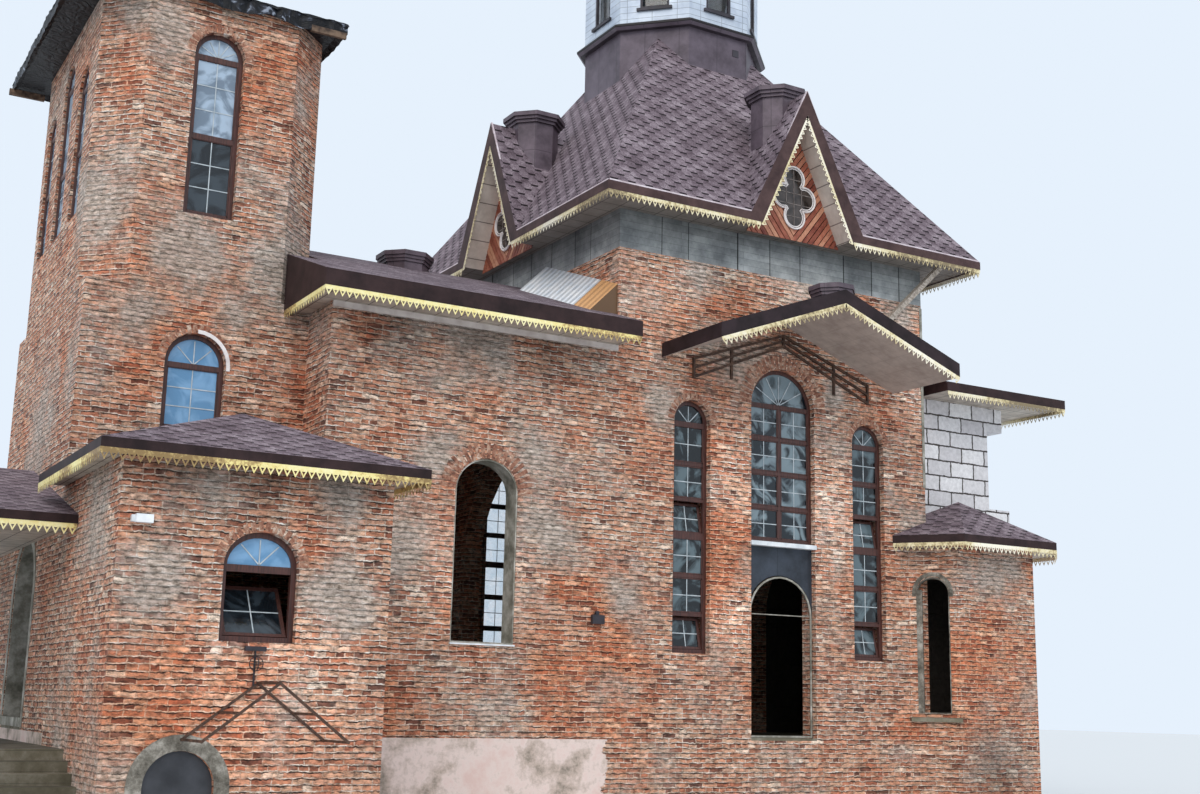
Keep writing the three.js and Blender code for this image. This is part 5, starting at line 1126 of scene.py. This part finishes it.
# zinc: silver white, satin, ribbed, with a faint bloom and painted light and shade across the ribs
zinc, tree, place = new_material("galvanised_corrugated_sheet")
rib = add(tree, "TexWave", {"Vector": place, "Scale": 2.1, "Distortion": 0.0}, bands_direction="Y").outputs["Fac"]
bloom = add(tree, "TexNoise", {"Vector": place, "Scale": 6.0, "Detail": 6.0})
tone = add(tree, "ValToRGB", [bloom], [(0.3, "#DCE4EE"), (0.7, "#FFFFFF")])
# painted light and shade: each rib lighter on one side and darker on the other
painted_rib_light = add(tree, "MapRange", [rib, 0.0, 1.0, 0.75, 1.15])
rib_lit_zinc = add(tree, "VectorMath", {0: tone, "Scale": painted_rib_light}, operation="SCALE")
facing = add(tree, "SeparateXYZ", [add(tree, "NewGeometry").outputs["True Normal"]])
spot = add(tree, "SeparateXYZ", [place])
near_end = add(tree, "Math", [spot.outputs["Y"], HATCH_BOARDS], operation="LESS_THAN")
boarded = add(tree, "Mix", {0: near_end, 6: rib_lit_zinc, 7: linear("#E2AC76")}, data_type="RGBA")
# painted shade: the upright south end face is dark
end = add(tree, "Math", [facing.outputs["Y"], -0.5], operation="LESS_THAN")
colour = add(tree, "Mix", {0: end, 6: boarded, 7: linear("#6E5238")}, data_type="RGBA")
finish_with(shaded(zinc, colour, (rib, 1.0, 0.02), Metallic=0.1, Roughness=0.45), "roof_hatch")

# Linings of the doorways and openings
# Some reveals already have their coat of cement plaster, 20 mm thick and struck off with a trowel, and the sacristy's
# opening has a rougher surround on a small concrete shelf. A thin tie bar crosses the south doorway at its springing.
LINING = 0.022
SACRISTY_TURN = -0.8025
SACRISTY_OPENING = (6.39, -0.3, 0)
# cement plaster: matt and cloudy, with trowel marks
cement = clouded("pale_cement_plaster", [(0.36, "#6E6C61"), (0.5, "#9C998E"), (0.64, "#CBC8C0")], 3.0, 7.0, 0.7,
                 relief=(0.4, 0.01), Roughness=0.9)
# cement left rough: darker, grainy
rough_cement = clouded("rough_grey_cement", [(0.38, "#4F4A42"), (0.5, "#7C776D"), (0.62, "#B0AAA0")], 4.0, 7.0, 0.75,
                       relief=(0.6, 0.015), Roughness=0.92)
settle(joined("nave_opening_lining", [frame_ring(OPENINGS["nave"], 0.012, border=LINING, deep=0.355)]), cement,
       "concrete")
panel_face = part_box("door_panel")[0].y - at(0, 0, 0).y
doorway = dict(x=3.3, y=0.0, half=0.66, sill=0.01, spring=2.04, crown=2.69)
trim = frame_ring(doorway, panel_face - 0.02, inset=0.0, border=0.03, deep=0.018)
tie = block_between((2.67, panel_face - 0.014, 2.03), (3.93, panel_face - 0.004, 2.045))
settle(joined("doorway_trim", [trim, tie]), cement, "concrete")
sacristy = dict(x=6.39, y=-0.3, half=0.29, sill=0.45, spring=2.56, crown=2.85)
lining = frame_ring(sacristy, -0.29, border=0.02, deep=0.26)
jamb = block_between((6.1, -0.288, 0.48), (6.2, -0.04, 2.62))
ring = frame_ring(dict(sacristy, half=0.36, crown=2.93), -0.306, inset=0.0, border=0.069, deep=0.01)
clipped(ring, [(at(6.39, -0.3, 2.5), (0, 0, 1))])
shelf = block_between((5.98, -0.38, 0.31), (6.86, -0.302, 0.39))
turned([lining, jamb, ring, shelf], SACRISTY_TURN, SACRISTY_OPENING)
settle(joined("sacristy_opening_surround", [lining, jamb, ring]), rough_cement, "concrete")
settle(joined("sacristy_shelf", [shelf]), slab_concrete, "concrete")
west_door = dict(x=-3.545, y=-WEST_FACE, half=0.8, sill=0.0, spring=1.95, crown=2.75)
lining = frame_ring(west_door, -WEST_FACE + 0.012, border=LINING, deep=0.3)
ring = frame_ring(dict(west_door, half=0.93, crown=2.88), -WEST_FACE - 0.01, inset=0.0, border=0.129, deep=0.012)
turned([lining, ring], -math.pi / 2, (0, 0, 0))
settle(joined("west_doorway_lining", [lining, ring]), cement, "concrete")
cellar = dict(x=-7.4, y=-2.39, half=0.61, sill=-1.29, spring=-0.56, crown=0.04)
settle(joined("cellar_arch_plaster", [frame_ring(cellar, -2.398, inset=0.0, border=0.188, deep=0.007)]), rough_cement,
       "concrete")

# Ledges, trims and sills
# A white half arch is left on the tower's low window, cement fills the crossing's south-east corner, and a painted
# batten closes the gap below the nave's soffit. Two sills of white sheet are bedded in.
low_window = dict(OPENINGS["tower_lower"], half=0.507, sill=4.2, crown=5.767)
half_arch = frame_ring(low_window, 1.018, inset=0.0, border=0.056, deep=0.011)
clipped(half_arch, [(at(-6.67, 1.03, 5), (1, 0, 0)), (at(-6.67, 1.03, 5.2), (0, 0, 1))])
settle(joined("tower_window_half_arch", [half_arch]), white_moulding, "concrete")
settle(joined("corner_pointing", [block_between((6.5, -0.01, 4.5), (6.556, 0.05, 7.9))]), cement, "concrete")
# matt paint on boards: pale mauve grey
ledger_paint = clouded("painted_soffit_ledger", [(0.35, "#C0B4AF"), (0.65, "#E2DAD5")], 4.0, 5.0, Roughness=0.7)
ledgers = [block_between((-5.0, y, 6.16), (-0.09, y + 0.039, 6.248)) for y in (-0.04, 7.291)]
settle(joined("nave_soffit_ledgers", ledgers), ledger_paint, "board")
# coated sheet: clean, bright and smooth
white_sill = clouded("white_sheet_sill", [(0.35, "#D4DADF"), (0.65, "#FAFCFE")], 5.0, 4.0, Roughness=0.4)
sills = [block_between((2.6, -0.035, 3.185), (3.99, 0.1, 3.258)),
         block_between((-2.9, -0.03, 1.318), (-1.82, 0.06, 1.343))]
settle(joined("white_sills", sills), white_sill, "frame")

# Lantern windows and skirt vent
# Each side of the white drum has one narrow arched window in a dark frame, over a sill of dark sheet that is wider
# than the window. The skirt below has one small square vent.
LANTERN = (3.272, 3.645, 0)
lantern_window = dict(x=3.272, y=1.98, half=0.29, sill=13.85, spring=15.05, crown=15.34)
# coated sheet: satin, nearly black
dark_trim = clouded("charcoal_sheet_trim", [(0.35, "#221E24"), (0.65, "#3A353D")], 4.0, 4.0, Roughness=0.5)
trims = []
for side in range(8):
    pair = [frame_ring(lantern_window, 1.99, border=0.045, deep=0.05),
            block_between((2.92, 1.93, 13.79), (3.624, 1.975, 13.848))]
    turned(pair, side * math.pi / 4, LANTERN)
    trims += pair
trims.append(block_between((3.62, 1.985, 13.02), (3.76, 1.996, 13.16)))
settle(joined("lantern_window_trims", trims), dark_trim, "dark_sheet")

# Lamps and camera
# Small fittings screwed to the front: a white camera under the annex eaves, a caged lamp on a stem below the annex
# window, and a floodlight beside the nave window.
CAGE = at(-6.59, -2.49, 0.88)
fitting = [block_between((-8.16, -2.53, 2.48), (-7.96, -2.43, 2.58)),
           block_between((-8.2, -2.46, 2.49), (-8.13, -2.391, 2.57))]
settle(joined("wall_camera", fitting), white_sill, "frame")
lamps = [block_between((-0.5, -0.09, 1.72), (-0.28, -0.03, 1.86)),
         block_between((-0.42, -0.05, 1.8), (-0.36, -0.001, 1.92))]
for turn in ((0, 0, 0), UPRIGHT, (0, math.pi / 2, 0)):
    bpy.ops.object.select_all(action="DESELECT")
    bpy.ops.mesh.primitive_torus_add(major_radius=0.085, minor_radius=0.006, major_segments=20, minor_segments=6,
                                     rotation=turn, location=CAGE)
    lamps.append(bpy.context.object)
lamps += [block_between((-6.72, -2.45, 1.035), (-6.46, -2.391, 1.09)),
          block_between((-6.6, -2.43, 0.62), (-6.58, -2.41, 1.04))]
settle(joined("outside_lamps", lamps), dark_trim, "steel")

# Studio: floor, light and camera
# A plain pale floor and an even, pale sky stand in for the site. The camera stands where the picture was taken
# from, low and to the south-west, tipped up at the roofs.
YAW, PITCH, ROLL = 0.5292, 0.2039, 0.021
PICTURE_WIDTH = 1200
FOCAL_PIXELS = 1492.05
EYE = at(-12.3197, -20.3817, 0.4714)
bpy.ops.object.select_all(action="DESELECT")
bpy.ops.mesh.primitive_plane_add(size=260, location=(0, 0, -0.004))
floor = bpy.context.object
floor.name = "floor"
floor.data.materials.append(shaded(new_material("pale_studio_floor")[0], linear("#D9DBDC"), Roughness=0.95))

world = bpy.data.worlds.new("overcast")
bpy.context.scene.world = world
world.use_nodes = True
world.node_tree.nodes["Background"].inputs["Color"].default_value = linear("#E6F1FD")
world.node_tree.nodes["Background"].inputs["Strength"].default_value = 1.0
sun = bpy.data.lights.new("soft_daylight", "SUN")
sun.energy = 1.3
sun.angle = math.radians(50)
sun.color = linear("#FFF6EA")[:3]
lamp = bpy.data.objects.new("soft_daylight", sun)
lamp.rotation_euler = (math.radians(48), math.radians(-8), math.radians(-28))
bpy.context.scene.collection.objects.link(lamp)
bpy.context.scene.view_settings.view_transform = "Standard"

forward = Vector((math.sin(YAW) * math.cos(PITCH), math.cos(YAW) * math.cos(PITCH), math.sin(PITCH)))
level = Vector((math.cos(YAW), -math.sin(YAW), 0))
over = level.cross(forward)
right = level * math.cos(ROLL) + over * math.sin(ROLL)
top = over * math.cos(ROLL) - level * math.sin(ROLL)
camera = bpy.data.cameras.new("camera")
camera.sensor_fit = "HORIZONTAL"
camera.sensor_width = 36
camera.lens = FOCAL_PIXELS * camera.sensor_width / PICTURE_WIDTH
camera.clip_end = 500
eye = bpy.data.objects.new("camera", camera)
eye.matrix_world = Matrix.Translation(EYE) @ Matrix((right, top, -forward)).transposed().to_4x4()
bpy.context.scene.collection.objects.link(eye)
bpy.context.scene.camera = eye
